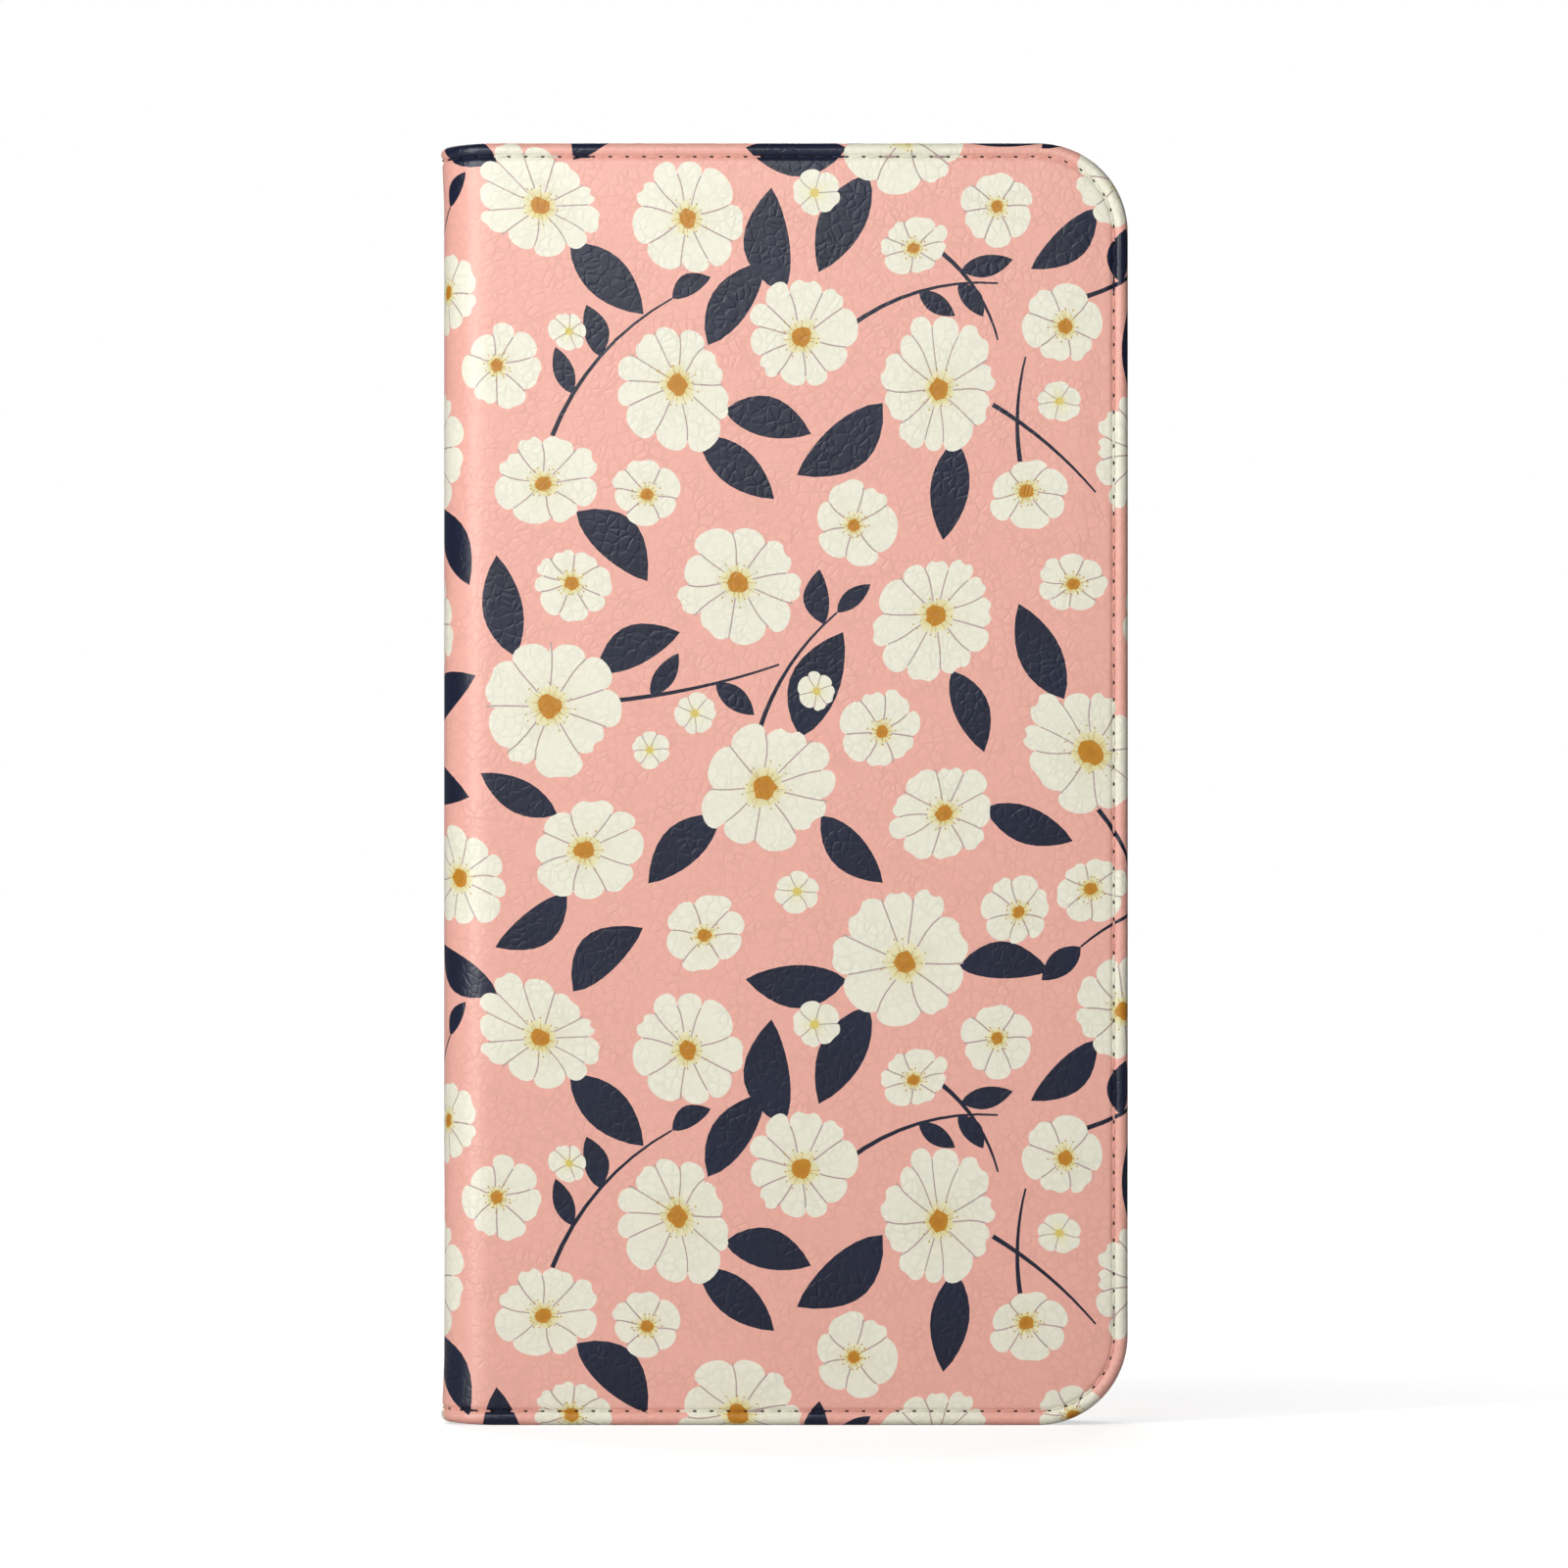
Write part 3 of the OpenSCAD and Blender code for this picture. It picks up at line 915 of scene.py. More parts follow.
@dataclass
class FlatOutline:
    """Outline of half a sheet laid flat: a cut side at the spine and two round free corners."""

    reach: float
    height: float
    corner: float
    inset: float = 0.0
    hole: RoundHole | None = None

    def nearest(self, u: Grid, v: Grid) -> tuple[Grid, Grid, Grid]:
        """Distance inside the outline, and the direction out of the sheet there.

        Args:
            u: Places along the sheet.
            v: Places up the sheet.

        Returns:
            The distance, and the direction's two parts.
        """
        reach, low, high = self.reach - self.inset, self.inset, self.height - self.inset
        corner = self.corner - self.inset
        cu = reach - corner
        cv = np.where(v < self.height / 2, low + corner, high - corner)
        du, dv = u - cu, v - cv
        in_corner = (du > 0) & (np.where(v < self.height / 2, -dv, dv) > 0)
        size = np.maximum(np.hypot(du, dv), 1e-9)
        ends = np.minimum(v - low, high - v)
        side = reach - u
        by_side = side < ends
        distance = np.where(in_corner, corner - size, np.where(by_side, side, ends))
        out_u = np.where(in_corner, du / size, np.where(by_side, 1.0, 0.0))
        end_v = np.where(v < self.height / 2, -1.0, 1.0)
        out_v = np.where(in_corner, dv / size, np.where(by_side, 0.0, end_v))
        if self.hole:
            gap, hole_u, hole_v = self.hole.nearest(u, v)
            nearer = gap < distance
            distance = np.where(nearer, gap, distance)
            out_u, out_v = np.where(nearer, hole_u, out_u), np.where(nearer, hole_v, out_v)
        return distance, out_u, out_v

    def loop(self, distance: float, steps: int = 24) -> list[Point]:
        """Open loop at a distance inside the outline, from the spine's foot to its head."""
        inset = self.inset + distance
        corner = self.corner - inset
        cu = self.reach - self.corner
        points: list[Point] = [(0.0, inset)]
        for i in range(steps + 1):
            angle = (i / steps - 1) * math.pi / 2
            points.append((cu + corner * math.cos(angle), self.corner + corner * math.sin(angle)))
        for i in range(steps + 1):
            angle = i / steps * math.pi / 2
            points.append((cu + corner * math.cos(angle),
                           self.height - self.corner + corner * math.sin(angle)))
        points.append((0.0, self.height - inset))
        return points


class Layout:
    """Points, edges and faces that the triangulation takes."""

    def __init__(self) -> None:
        """Starts empty."""
        self.points: list[Vector] = []
        self.edges: list[tuple[int, int]] = []
        self.faces: list[list[int]] = []

    def line(self, points: Sequence[Point], closed: bool = False) -> None:
        """Adds a line that the triangles have to follow."""
        first = len(self.points)
        self.points.extend(Vector(p) for p in points)
        self.edges.extend((first + i, first + i + 1) for i in range(len(points) - 1))
        if closed:
            self.edges.append((first + len(points) - 1, first))

    def area(self, points: Sequence[Point]) -> None:
        """Adds an area whose triangles are told apart."""
        first = len(self.points)
        self.points.extend(Vector(p) for p in points)
        self.faces.append(list(range(first, first + len(points))))

    def solve(self) -> tuple[Grid, list[list[int]], list[list[int]], list[list[int]]]:
        """Triangulates.

        Returns:
            The points, the triangles, the areas that each triangle is in, and the given
            points that each point comes from.
        """
        out = delaunay_2d_cdt(self.points, self.edges, self.faces, 0, 1e-5, True)
        return np.array([tuple(p) for p in out[0]]), out[2], out[5], out[3]


@dataclass
class LaidSheet:
    """Half of a sheet that lies folded round the case, as a closed solid with a round edge.

    Attributes:
        profile: How the half runs.
        outline: Its outline laid flat.
        level: Depth of its showing face under the cover's outer face.
        sense: +1 where its body lies deeper than its showing face, else -1.
        roll: Radius of its round edge, half of the edge's thickness.
        thickness: Thickness away from the edge.
        relief: Depth pressed into the showing face, by the distance from the edge.
        relief_lines: Distances from the edge where the relief needs points.
        ground: Colour of the showing face.
        patches: Printed patches, lowest first.
    """

    profile: FoldProfile
    outline: FlatOutline
    level: float
    sense: int
    roll: float
    thickness: float
    relief: Callable[[Grid], Grid]
    relief_lines: Sequence[float]
    ground: Colour
    patches: Sequence[Patch] = ()
    roll_steps: int = 8
    bend_steps: int = 22

    def over_edge(self, u: Grid, v: Grid) -> tuple[Grid, Grid, Grid]:
        """Rolls the flat sheet's margin over its edge.

        Args:
            u: Places along the sheet.
            v: Places up the sheet.

        Returns:
            The rolled places and their depth below the showing face.
        """
        inside, out_u, out_v = self.outline.nearest(u, v)
        rolled = np.maximum(self.roll - inside, 0.0) / self.roll
        reach = self.roll * np.sin(rolled) - self.roll + inside
        depth = np.where(rolled > 0, self.roll * (1 - np.cos(rolled)), self.relief(inside))
        step = np.where(rolled > 0, reach, 0.0)
        return u + out_u * step, v + out_v * step, depth

    def showing(self, u: Grid, v: Grid) -> Grid:
        """Places of points of the showing face, rolled edge included."""
        flat_u, flat_v, depth = self.over_edge(u, v)
        return self.profile.place(flat_u, flat_v, self.level + self.sense * depth)

    def facing(self, u: Grid, v: Grid) -> Grid:
        """Directions that the showing face points in."""
        step = 0.01
        along = self.showing(u + step, v) - self.showing(u - step, v)
        up = self.showing(u, v + step) - self.showing(u, v - step)
        normal = np.cross(along, up) * self.turn
        return normal / np.maximum(np.linalg.norm(normal, axis=1, keepdims=True), 1e-12)

    @property
    def turn(self) -> int:
        """+1 where anticlockwise on the flat sheet faces out of the showing face."""
        return self.profile.inward * self.sense

    @property
    def margin(self) -> float:
        """How far the flat sheet runs past its outline before it is rolled over."""
        return self.roll * (math.pi - 1)

    def fold_lines(self, layout: Layout) -> None:
        """Adds the lines across the bend and the waist, where the sheet curves."""
        profile = self.profile
        high = self.outline.height + 6
        for i in range(self.bend_steps + 1):
            u = profile.run + profile.bend_length * i / self.bend_steps
            layout.line([(u, -6.0), (u, high)])
        for i in range(1, 7):
            v = profile.waist_reach * i / 6
            for level in (v, self.outline.height - v):
                layout.line([(0.0, level), (profile.bend_end, level)])

    def make(self, name: str, material: bpy.types.Material) -> bpy.types.Object:
        """Builds the closed sheet.

        Args:
            name: The piece's name.
            material: Its material.

        Returns:
            The new object.
        """
        layout = Layout()
        outer = self.outline.loop(-self.margin)
        layout.area(outer)
        hole = self.outline.hole
        if hole:
            layout.area(hole.loop(-self.margin))
        first_patch = len(layout.faces)
        for patch in self.patches:
            layout.area(patch.points)
        stations = [self.roll * (1 - math.pi * i / self.roll_steps) for i in range(self.roll_steps)]
        for distance in (*stations, *self.relief_lines):
            layout.line(self.outline.loop(distance))
            if hole:
                layout.line(hole.loop(distance), closed=True)
        self.fold_lines(layout)
        flat, triangles, areas, _ = layout.solve()
        kept, tops = [], []
        for triangle, inside in zip(triangles, areas):
            if 0 in inside and not (hole and 1 in inside):
                kept.append(triangle)
                tops.append(max(inside))
        used = sorted({i for t in kept for i in t})
        renumber = {old: new for new, old in enumerate(used)}
        kept = [[renumber[i] for i in t] for t in kept]
        flat = flat[used]
        u, v = flat[:, 0], flat[:, 1]
        points = self.showing(u, v)
        normals = self.facing(u, v)
        under_points, under_flat, under_faces = self.underside(flat, kept)
        if self.turn < 0:
            kept = [t[::-1] for t in kept]
            under_faces = [t[::-1] for t in under_faces]
        under_faces = [t[::-1] for t in under_faces]
        all_points = np.concatenate([points, under_points])
        all_flat = np.concatenate([flat, under_flat])
        wall = self.cut_wall(all_points, all_flat, kept + under_faces)
        faces = kept + under_faces + [wall]
        mesh = bpy.data.meshes.new(name)
        mesh.from_pydata((all_points * MM).tolist(), [], faces)
        mesh.polygons.foreach_set("use_smooth", [True] * len(faces))
        self.write_layers(mesh, all_flat, kept, tops, first_patch)
        custom = np.zeros((sum(len(f) for f in faces), 3))
        custom[: len(kept) * 3] = normals[np.array(kept).ravel()]
        mesh.normals_split_custom_set(custom.tolist())
        mesh.materials.append(material)
        piece = placed(name, mesh)
        self.lookup = (BVHTree.FromPolygons(points.tolist(), kept), tops, first_patch)
        return piece

    def underside(self, flat: Grid,
                  kept: list[list[int]]) -> tuple[Grid, Grid, list[list[int]]]:
        """Builds the face that the showing face's rolled edge comes back to.

        Args:
            flat: Flat places of the showing face's points.
            kept: The showing face's triangles.

        Returns:
            New places, their flat places, and the triangles, which use the showing
            face's points along the rolled edge.
        """
        seen: dict[tuple[int, int], int] = {}
        for a, b, c in kept:
            for edge in ((a, b), (b, c), (c, a)):
                key = (min(edge), max(edge))
                seen[key] = seen.get(key, 0) + 1
        links: dict[int, list[int]] = {}
        for (a, b), count in seen.items():
            if count == 1 and not (flat[a, 0] < 1e-4 and flat[b, 0] < 1e-4):
                links.setdefault(a, []).append(b)
                links.setdefault(b, []).append(a)
        chains = self.chains(links)
        chains.sort(key=lambda chain: -len(chain) if flat[chain[0], 0] < 1e-4 else 0)
        rim_u, rim_v, _ = self.over_edge(flat[:, 0], flat[:, 1])
        layout = Layout()
        owners: list[int] = []
        for chain in chains:
            places = np.array([(rim_u[i], rim_v[i]) for i in chain])
            ahead = np.roll(places, -1, axis=0)
            if np.sum(places[:, 0] * ahead[:, 1] - places[:, 1] * ahead[:, 0]) < 0:
                chain.reverse()
            layout.area([(rim_u[i], rim_v[i]) for i in chain])
            owners.extend(chain)
        step_at = self.roll + 0.02
        stepped = abs(self.thickness - 2 * self.roll) > 1e-6
        if stepped:
            layout.line(self.outline.loop(step_at))
            if self.outline.hole:
                layout.line(self.outline.hole.loop(step_at), closed=True)
        self.fold_lines(layout)
        under, triangles, areas, origins = layout.solve()
        number: dict[int, int] = {}
        new_flat: list[Grid] = []
        for index, source in enumerate(origins):
            old = [owners[i] for i in source if i < len(owners)]
            if old:
                number[index] = old[0]
            else:
                number[index] = len(flat) + len(new_flat)
                new_flat.append(under[index])
        faces = []
        for triangle, inside in zip(triangles, areas):
            if 0 in inside and not (len(chains) > 1 and 1 in inside):
                face = [number[i] for i in triangle]
                if len(set(face)) == 3:
                    faces.append(face)
        new = np.array(new_flat).reshape(-1, 2)
        inside, _, _ = self.outline.nearest(new[:, 0], new[:, 1])
        shallow = np.where(inside > step_at - 0.001, self.thickness, 2 * self.roll)
        places = self.profile.place(new[:, 0], new[:, 1], self.level + self.sense * shallow)
        used = {i for f in faces for i in f if i >= len(flat)}
        order = {old: len(flat) + new_i for new_i, old in enumerate(sorted(used))}
        rows = [old - len(flat) for old in sorted(used)]
        faces = [[order.get(i, i) for i in f] for f in faces]
        return places[rows], new[rows], faces

    @staticmethod
    def chains(links: dict[int, list[int]]) -> list[list[int]]:
        """Orders border points into chains, open ones first."""
        left = set(links)
        found = []
        while left:
            ends = [i for i in left if len(links[i]) == 1]
            current = min(ends) if ends else min(left)
            chain = [current]
            left.discard(current)
            while True:
                onward = [i for i in links[current] if i in left]
                if not onward:
                    break
                current = onward[0]
                chain.append(current)
                left.discard(current)
            found.append(chain)
        return found

    @staticmethod
    def cut_wall(points: Grid, flat: Grid, faces: list[list[int]]) -> list[int]:
        """The face that closes the sheet where it is cut at the middle of the spine."""
        directed = dict.fromkeys((a, b) for face in faces for a, b in zip(face, face[1:] + face[:1]))
        onward = {b: a for (a, b) in directed if (b, a) not in directed}
        start = min(onward)
        wall = [start]
        while onward[wall[-1]] != start and len(wall) <= len(onward):
            wall.append(onward[wall[-1]])
        return wall

    def write_layers(self, mesh: bpy.types.Mesh, flat: Grid, kept: list[list[int]],
                     tops: list[int], first_patch: int) -> None:
        """Writes the flat layout and the print's colours into the mesh.

        Args:
            mesh: The mesh to write to.
            flat: Flat place of each point.
            kept: Triangles of the showing face, the mesh's first faces.
            tops: Topmost area of each.
            first_patch: Number of the first printed patch among the areas.
        """
        loops = np.zeros(len(mesh.loops), np.int32)
        mesh.loops.foreach_get("vertex_index", loops)
        layer = mesh.uv_layers.new(name="flat")
        layer.data.foreach_set("uv", (flat[loops] * MM * np.array([self.profile.inward, 1.0])).ravel())
        colours = np.ones((len(loops), 4))
        colours[:, :3] = self.ground
        corner = np.array(kept)
        for index, top in enumerate(tops):
            if top >= first_patch:
                colours[index * 3: index * 3 + 3, :3] = self.shade(self.patches[top - first_patch],
                                                                  flat[corner[index]])
        attribute = mesh.color_attributes.new("print", "FLOAT_COLOR", "CORNER")
        attribute.data.foreach_set("color", colours.ravel())

    @staticmethod
    def shade(patch: Patch, places: Grid) -> Grid:
        """Colours of a patch at some places."""
        away = np.hypot(places[:, 0] - patch.centre[0], places[:, 1] - patch.centre[1])
        share = ease(away / patch.reach)[:, None]
        return np.array(patch.inner) * (1 - share) + np.array(patch.outer) * share

    def colour_near(self, place: Grid, flat: Point) -> Colour:
        """The print's colour at a place on the showing face."""
        tree, tops, first_patch = self.lookup
        _, _, index, _ = tree.find_nearest(Vector(place))
        top = tops[index]
        if top < first_patch:
            return self.ground
        return tuple(self.shade(self.patches[top - first_patch], np.array([flat]))[0])


# ---------------------------------------------------------------------------
# Stitching
# ---------------------------------------------------------------------------


@dataclass(frozen=True)
class Stitch:
    """Where one stitch lies, which way it runs and which way is up from the surface."""

    place: tuple[float, float, float]
    along: tuple[float, float, float]
    out: tuple[float, float, float]
    colour: Colour


@dataclass
class StitchMaker:
    """Sews rows of stitches with a geometry node tree.

    Attributes:
        pitch: Distance from one stitch to the next.
        length: Length of thread that shows between two needle holes.
        radius: Radius of the thread.
        rise: How far the thread's middle stands up from its ends.
    """

    pitch: float = 2.17
    length: float = 1.72
    radius: float = 0.17
    rise: float = 0.16
    hole_length: float = 0.58
    hole_width: float = 0.24

    def __post_init__(self) -> None:
        """Builds the tree that every row shares."""
        tree = bpy.data.node_groups.new("Sewn Stitches", "GeometryNodeTree")
        face = tree.interface
        face.new_socket("Geometry", in_out="INPUT", socket_type="NodeSocketGeometry")
        self.sizes = {"Pitch": self.pitch, "Thread Length": self.length, "Thread Radius": self.radius,
                      "Rise": self.rise, "Hole Length": self.hole_length, "Hole Width": self.hole_width}
        self.keys = {}
        for name, value in self.sizes.items():
            socket = face.new_socket(name, in_out="INPUT", socket_type="NodeSocketFloat")
            socket.default_value = value * MM
            self.keys[name] = socket.identifier
        for name in ("Thread", "Needle Hole"):
            socket = face.new_socket(name, in_out="INPUT", socket_type="NodeSocketMaterial")
            self.keys[name] = socket.identifier
        face.new_socket("Geometry", in_out="OUTPUT", socket_type="NodeSocketGeometry")
        self.tree = tree
        self.wire(Sockets(tree))

    def wire(self, net: Sockets) -> None:
        """Joins up the tree's nodes."""
        given, result = net.add("NodeGroupInput"), net.add("NodeGroupOutput")
        sizes = given.outputs
        along, out = (net.add("GeometryNodeInputNamedAttribute", {"Name": name},
                              data_type="FLOAT_VECTOR").outputs["Attribute"]
                      for name in ("along", "out"))
        lengthwise = net.add("FunctionNodeAlignRotationToVector", {"Vector": along},
                             axis="X", pivot_axis="AUTO")
        upright = net.add("FunctionNodeAlignRotationToVector",
                          {"Rotation": lengthwise.outputs["Rotation"], "Vector": out},
                          axis="Z", pivot_axis="X")
        turn = upright.outputs["Rotation"]
        half = net.maths("MULTIPLY", sizes["Thread Length"], 0.5)
        start, end = (net.add("ShaderNodeCombineXYZ", {
            "X": net.maths("MULTIPLY", half, sign),
            "Z": net.maths("MULTIPLY", sizes["Rise"], -1.0)}).outputs[0] for sign in (-1.0, 1.0))
        top = net.add("ShaderNodeCombineXYZ", {"Z": sizes["Rise"]})
        arch = net.add("GeometryNodeCurveQuadraticBezier", {
            "Resolution": 6, "Start": start, "Middle": top.outputs[0], "End": end})
        ring = net.add("GeometryNodeCurvePrimitiveCircle",
                       {"Resolution": 7, "Radius": sizes["Thread Radius"]})
        strand = net.add("GeometryNodeCurveToMesh", {
            "Fill Caps": True, "Curve": arch.outputs[0], "Profile Curve": ring.outputs[0]})
        step = net.vectors("SCALE", {0: along, "Scale": net.maths("MULTIPLY", sizes["Pitch"], 0.5)})
        moved = net.add("GeometryNodeSetPosition", {"Geometry": sizes["Geometry"], "Offset": step})
        # Each needle hole is a dark bead: painted shade where the hole's shadow would be.
        bead = net.add("GeometryNodeMeshUVSphere", {"Segments": 8, "Rings": 4, "Radius": 0.5})
        shape = net.add("ShaderNodeCombineXYZ", {
            "X": sizes["Hole Length"], "Y": sizes["Hole Width"], "Z": sizes["Hole Width"]})
        sized = net.add("GeometryNodeTransform",
                        {"Geometry": bead.outputs["Mesh"], "Scale": shape.outputs[0]})
        both = net.add("GeometryNodeJoinGeometry")
        for points, solid, material in ((sizes["Geometry"], strand, "Thread"),
                                        (moved.outputs[0], sized, "Needle Hole")):
            laid = self.scatter(net, points, solid.outputs[0], turn)
            dress = net.add("GeometryNodeSetMaterial",
                            {"Geometry": laid, "Material": sizes[material]})
            net.join(dress.outputs[0], both.inputs[0])
        smooth = net.add("GeometryNodeSetShadeSmooth", {0: both.outputs[0]})
        net.join(smooth.outputs[0], result.inputs["Geometry"])

    @staticmethod
    def scatter(net: Sockets, points: object, shape: object, turn: object) -> bpy.types.NodeSocket:
        """Puts a shape on each point, turned with the row, as real geometry."""
        laid = net.add("GeometryNodeInstanceOnPoints",
                       {"Points": points, "Instance": shape, "Rotation": turn})
        return net.add("GeometryNodeRealizeInstances", {0: laid.outputs[0]}).outputs[0]

    def sew(self, name: str, stitches: Sequence[Stitch], thread: bpy.types.Material,
            hole: bpy.types.Material) -> bpy.types.Object:
        """Makes the stitches of one piece.

        Args:
            name: The piece's name.
            stitches: Where they lie, in millimetres.
            thread: Material of the thread.
            hole: Material of the needle holes: dark beads that are painted shade for the holes.

        Returns:
            The new object, with a plain mesh.
        """
        mesh = bpy.data.meshes.new(name + "_row")
        mesh.from_pydata([[c * MM for c in s.place] for s in stitches], [], [])
        for key in ("along", "out"):
            layer = mesh.attributes.new(key, "FLOAT_VECTOR", "POINT")
            layer.data.foreach_set("vector", [c for s in stitches for c in getattr(s, key)])
        tint = mesh.attributes.new("print", "FLOAT_COLOR", "POINT")
        tint.data.foreach_set("color", [c for s in stitches for c in (*s.colour, 1.0)])
        row = placed(name + "_row", mesh)
        sewing = row.modifiers.new("sewing", "NODES")
        sewing.node_group = self.tree
        for key, value in self.sizes.items():
            sewing[self.keys[key]] = value * MM
        sewing[self.keys["Thread"]] = thread
        sewing[self.keys["Needle Hole"]] = hole
        result = applied(row, sewing)
        bpy.data.objects.remove(row)
        result.name = name
        return placed(name, result)


# ---------------------------------------------------------------------------
# Assemblies
# ---------------------------------------------------------------------------


class Half(Enum):
    """The two halves of the folded cover: name, bodies from the spine outwards."""

    FRONT = ("front", "spine", "front_cover")
    BACK = ("back", "spine", "back_cover")

    def nodes(self, layer: str) -> list[str]:
        """CAD nodes of one layer of the half; the front half stands for the spine's too."""
        names = ("front", "spine") if self is Half.FRONT else ("back",)
        return [f"{name}_{layer}" for name in names]


@dataclass
class CaseSizes:
    """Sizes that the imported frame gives, in millimetres."""

    spine_x: float = field(init=False)
    free_x: float = field(init=False)
    front_y: float = field(init=False)
    back_y: float = field(init=False)
    height: float = field(init=False)
    corner: float = 11.6
    hinge_gap: float = 0.3
    skin: float = 1.0
    stitch_inset: float = 1.8

    def __post_init__(self) -> None:
        """Reads the frame's boxes."""
        front, back = box_mm("front_leather"), box_mm("back_leather")
        self.spine_x = float(box_mm("spine_leather")[0][0])
        self.free_x = float(front[1][0])
        self.front_y = float(front[0][1])
        self.back_y = float(back[1][1])
        self.height = float(front[1][2])
        board = box_mm("spine_board")
        front_deep = float(board[0][1]) - self.front_y
        back_deep = self.back_y - float(board[1][1]) - self.hinge_gap
        front_across = float(front[0][0]) - self.hinge_gap - self.spine_x
        back_across = float(box_mm("back_board")[0][0]) - self.spine_x
        middle = (self.front_y + front_deep + self.back_y - back_deep) / 2
        shared = {"spine_x": self.spine_x, "free_x": self.free_x, "height": self.height}
        self.front_fold = FoldProfile(face_y=self.front_y, inward=1, across=front_across,
                                      deep=front_deep, run=middle - self.front_y - front_deep,
                                      **shared)
        self.back_fold = FoldProfile(face_y=self.back_y, inward=-1, across=back_across, deep=back_deep,
                                     run=self.back_y - back_deep - middle, **shared)

    def outline(self, half: Half, inset: float = 0.0) -> tuple[FoldProfile, FlatOutline]:
        """How one half runs, and its outline laid flat.

        Args:
            half: Which half.
            inset: How far the sheet stays inside the cover's edge.

        Returns:
            The half's profile and outline. The back half has the camera hole.
        """
        if half is Half.FRONT:
            profile, hole = self.front_fold, None
        else:
            profile = self.back_fold
            low, high = opening_mm("camera_hole")
            clear, eased, corner = 2.5, 1.0, 8.0
            hole = RoundHole(profile.u_at(float(low[0] + high[0]) / 2),
                             float(low[2] + high[2]) / 2,
                             float(high[0] - low[0]) / 2 + clear + eased,
                             float(high[2] - low[2]) / 2 + clear + eased, corner)
        return profile, FlatOutline(profile.reach, self.height, self.corner, inset, hole)


def finish_half(piece: bpy.types.Object, half: Half,
                layer: str | None) -> None:
    """Bakes a piece of one half in place, hides the CAD nodes that it stands for, and reports it.

    Args:
        piece: The piece.
        half: Which half it belongs to.
        layer: The layer of CAD nodes that it stands for, if any.
    """
    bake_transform(piece)
    if layer:
        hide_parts(*half.nodes(layer))
    LOG.info("%s: %d faces", piece.name, len(piece.data.polygons))


def finish_rigid(piece: bpy.types.Object, body: str, slot: str, *nodes: str) -> None:
    """Fixes a piece to one body and reports it.

    Args:
        piece: The piece.
        body: The body that it rides on.
        slot: The record's material slot; not used.
        *nodes: CAD nodes that it stands for.
    """
    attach(piece, body)
    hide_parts(*nodes)
    LOG.info("%s: %d faces", piece.name, len(piece.data.polygons))


@dataclass
class PrintedCover:
    """The printed leather cover with its stitched rim.

    Attributes:
        sizes: The case's sizes.
        finishes: The finishes.
        pattern: The print.
        groove: Depth of the groove that the stitches lie in.
        groove_half: Half the groove's width.
        pillow: Depth that the leather sinks by just inside the stitches.
        print_start: Place of the print's repeat along the sheet and up it.
        relief_lines: Distances from the edge where the groove and the pillow need points.
    """

    sizes: CaseSizes
    finishes: FinishBook
    pattern: FlowerPrint
    groove: float = 0.3
    groove_half: float = 0.36
    pillow: float = 0.1
    print_start: Point = (-60.0, 20.0)
    relief_lines: tuple[float, ...] = (1.2, 1.35, 1.5, 1.62, 1.72, 1.8, 1.88, 1.98, 2.1, 2.25,
                                       2.45, 3.2, 4.2, 5.6, 7.2)

    def relief(self, inside: Grid) -> Grid:
        """Depth pressed into the leather: a groove under the stitches and a soft pillow."""
        away = (inside - self.sizes.stitch_inset) / self.groove_half
        groove = self.groove * np.exp(-(away ** 2))
        pillow = self.pillow * ease((inside - 1.2) / 0.8) * (1 - ease((inside - 2.2) / 5.0))
        return groove + pillow

    def build(self, half: Half) -> LaidSheet:
        """Builds one half of the cover.

        Args:
            half: Which half.

        Returns:
            The sheet, for the stitches to lie on.
        """
        sizes = self.sizes
        profile, outline = sizes.outline(half)
        patches = self.patches(profile, outline, half is Half.FRONT)
        sheet = LaidSheet(profile, outline, 0.0, 1, sizes.skin, sizes.skin, self.relief,
                          self.relief_lines, Inks.GROUND, patches)
        piece = sheet.make(f"{half.value[0]}_printed_leather",
                           self.finishes.get(FinishBook.PRINTED))
        finish_half(piece, half, "leather")
        return sheet

    def sew_rim(self, half: Half, sheet: LaidSheet, stitcher: "StitchMaker") -> None:
        """Sews the rim of one half, in thread that takes the print's colours.

        Args:
            half: Which half.
            sheet: The half's leather.
            stitcher: Sews the stitches.
        """
        stitches = rim_stitches(sheet, self.sizes.stitch_inset, stitcher.pitch, THREAD_SINK)
        row = stitcher.sew(f"{half.value[0]}_rim_stitches", stitches,
                           self.finishes.get(FinishBook.THREAD),
                           self.finishes.get(FinishBook.NEEDLE_HOLE))
        finish_half(row, half, "stitching")

    def patches(self, profile: FoldProfile, outline: FlatOutline, front: bool) -> list[Patch]:
        """Lays the print over one half, in that half's own flat places."""
        margin = 4.0
        start_u, start_v = self.print_start
        low, high = (0.0, profile.reach + margin) if front else (-profile.reach - margin, 0.0)
        found = self.pattern.over(low - start_u, high - start_u, -margin - start_v,
                                  outline.height + margin - start_v)
        moved = [patch.moved(start_u, start_v) for patch in found]
        if front:
            return moved
        return [Patch([(-x, y) for x, y in p.points][::-1], p.inner, p.outer,
                      (-p.centre[0], p.centre[1]), p.reach) for p in moved]


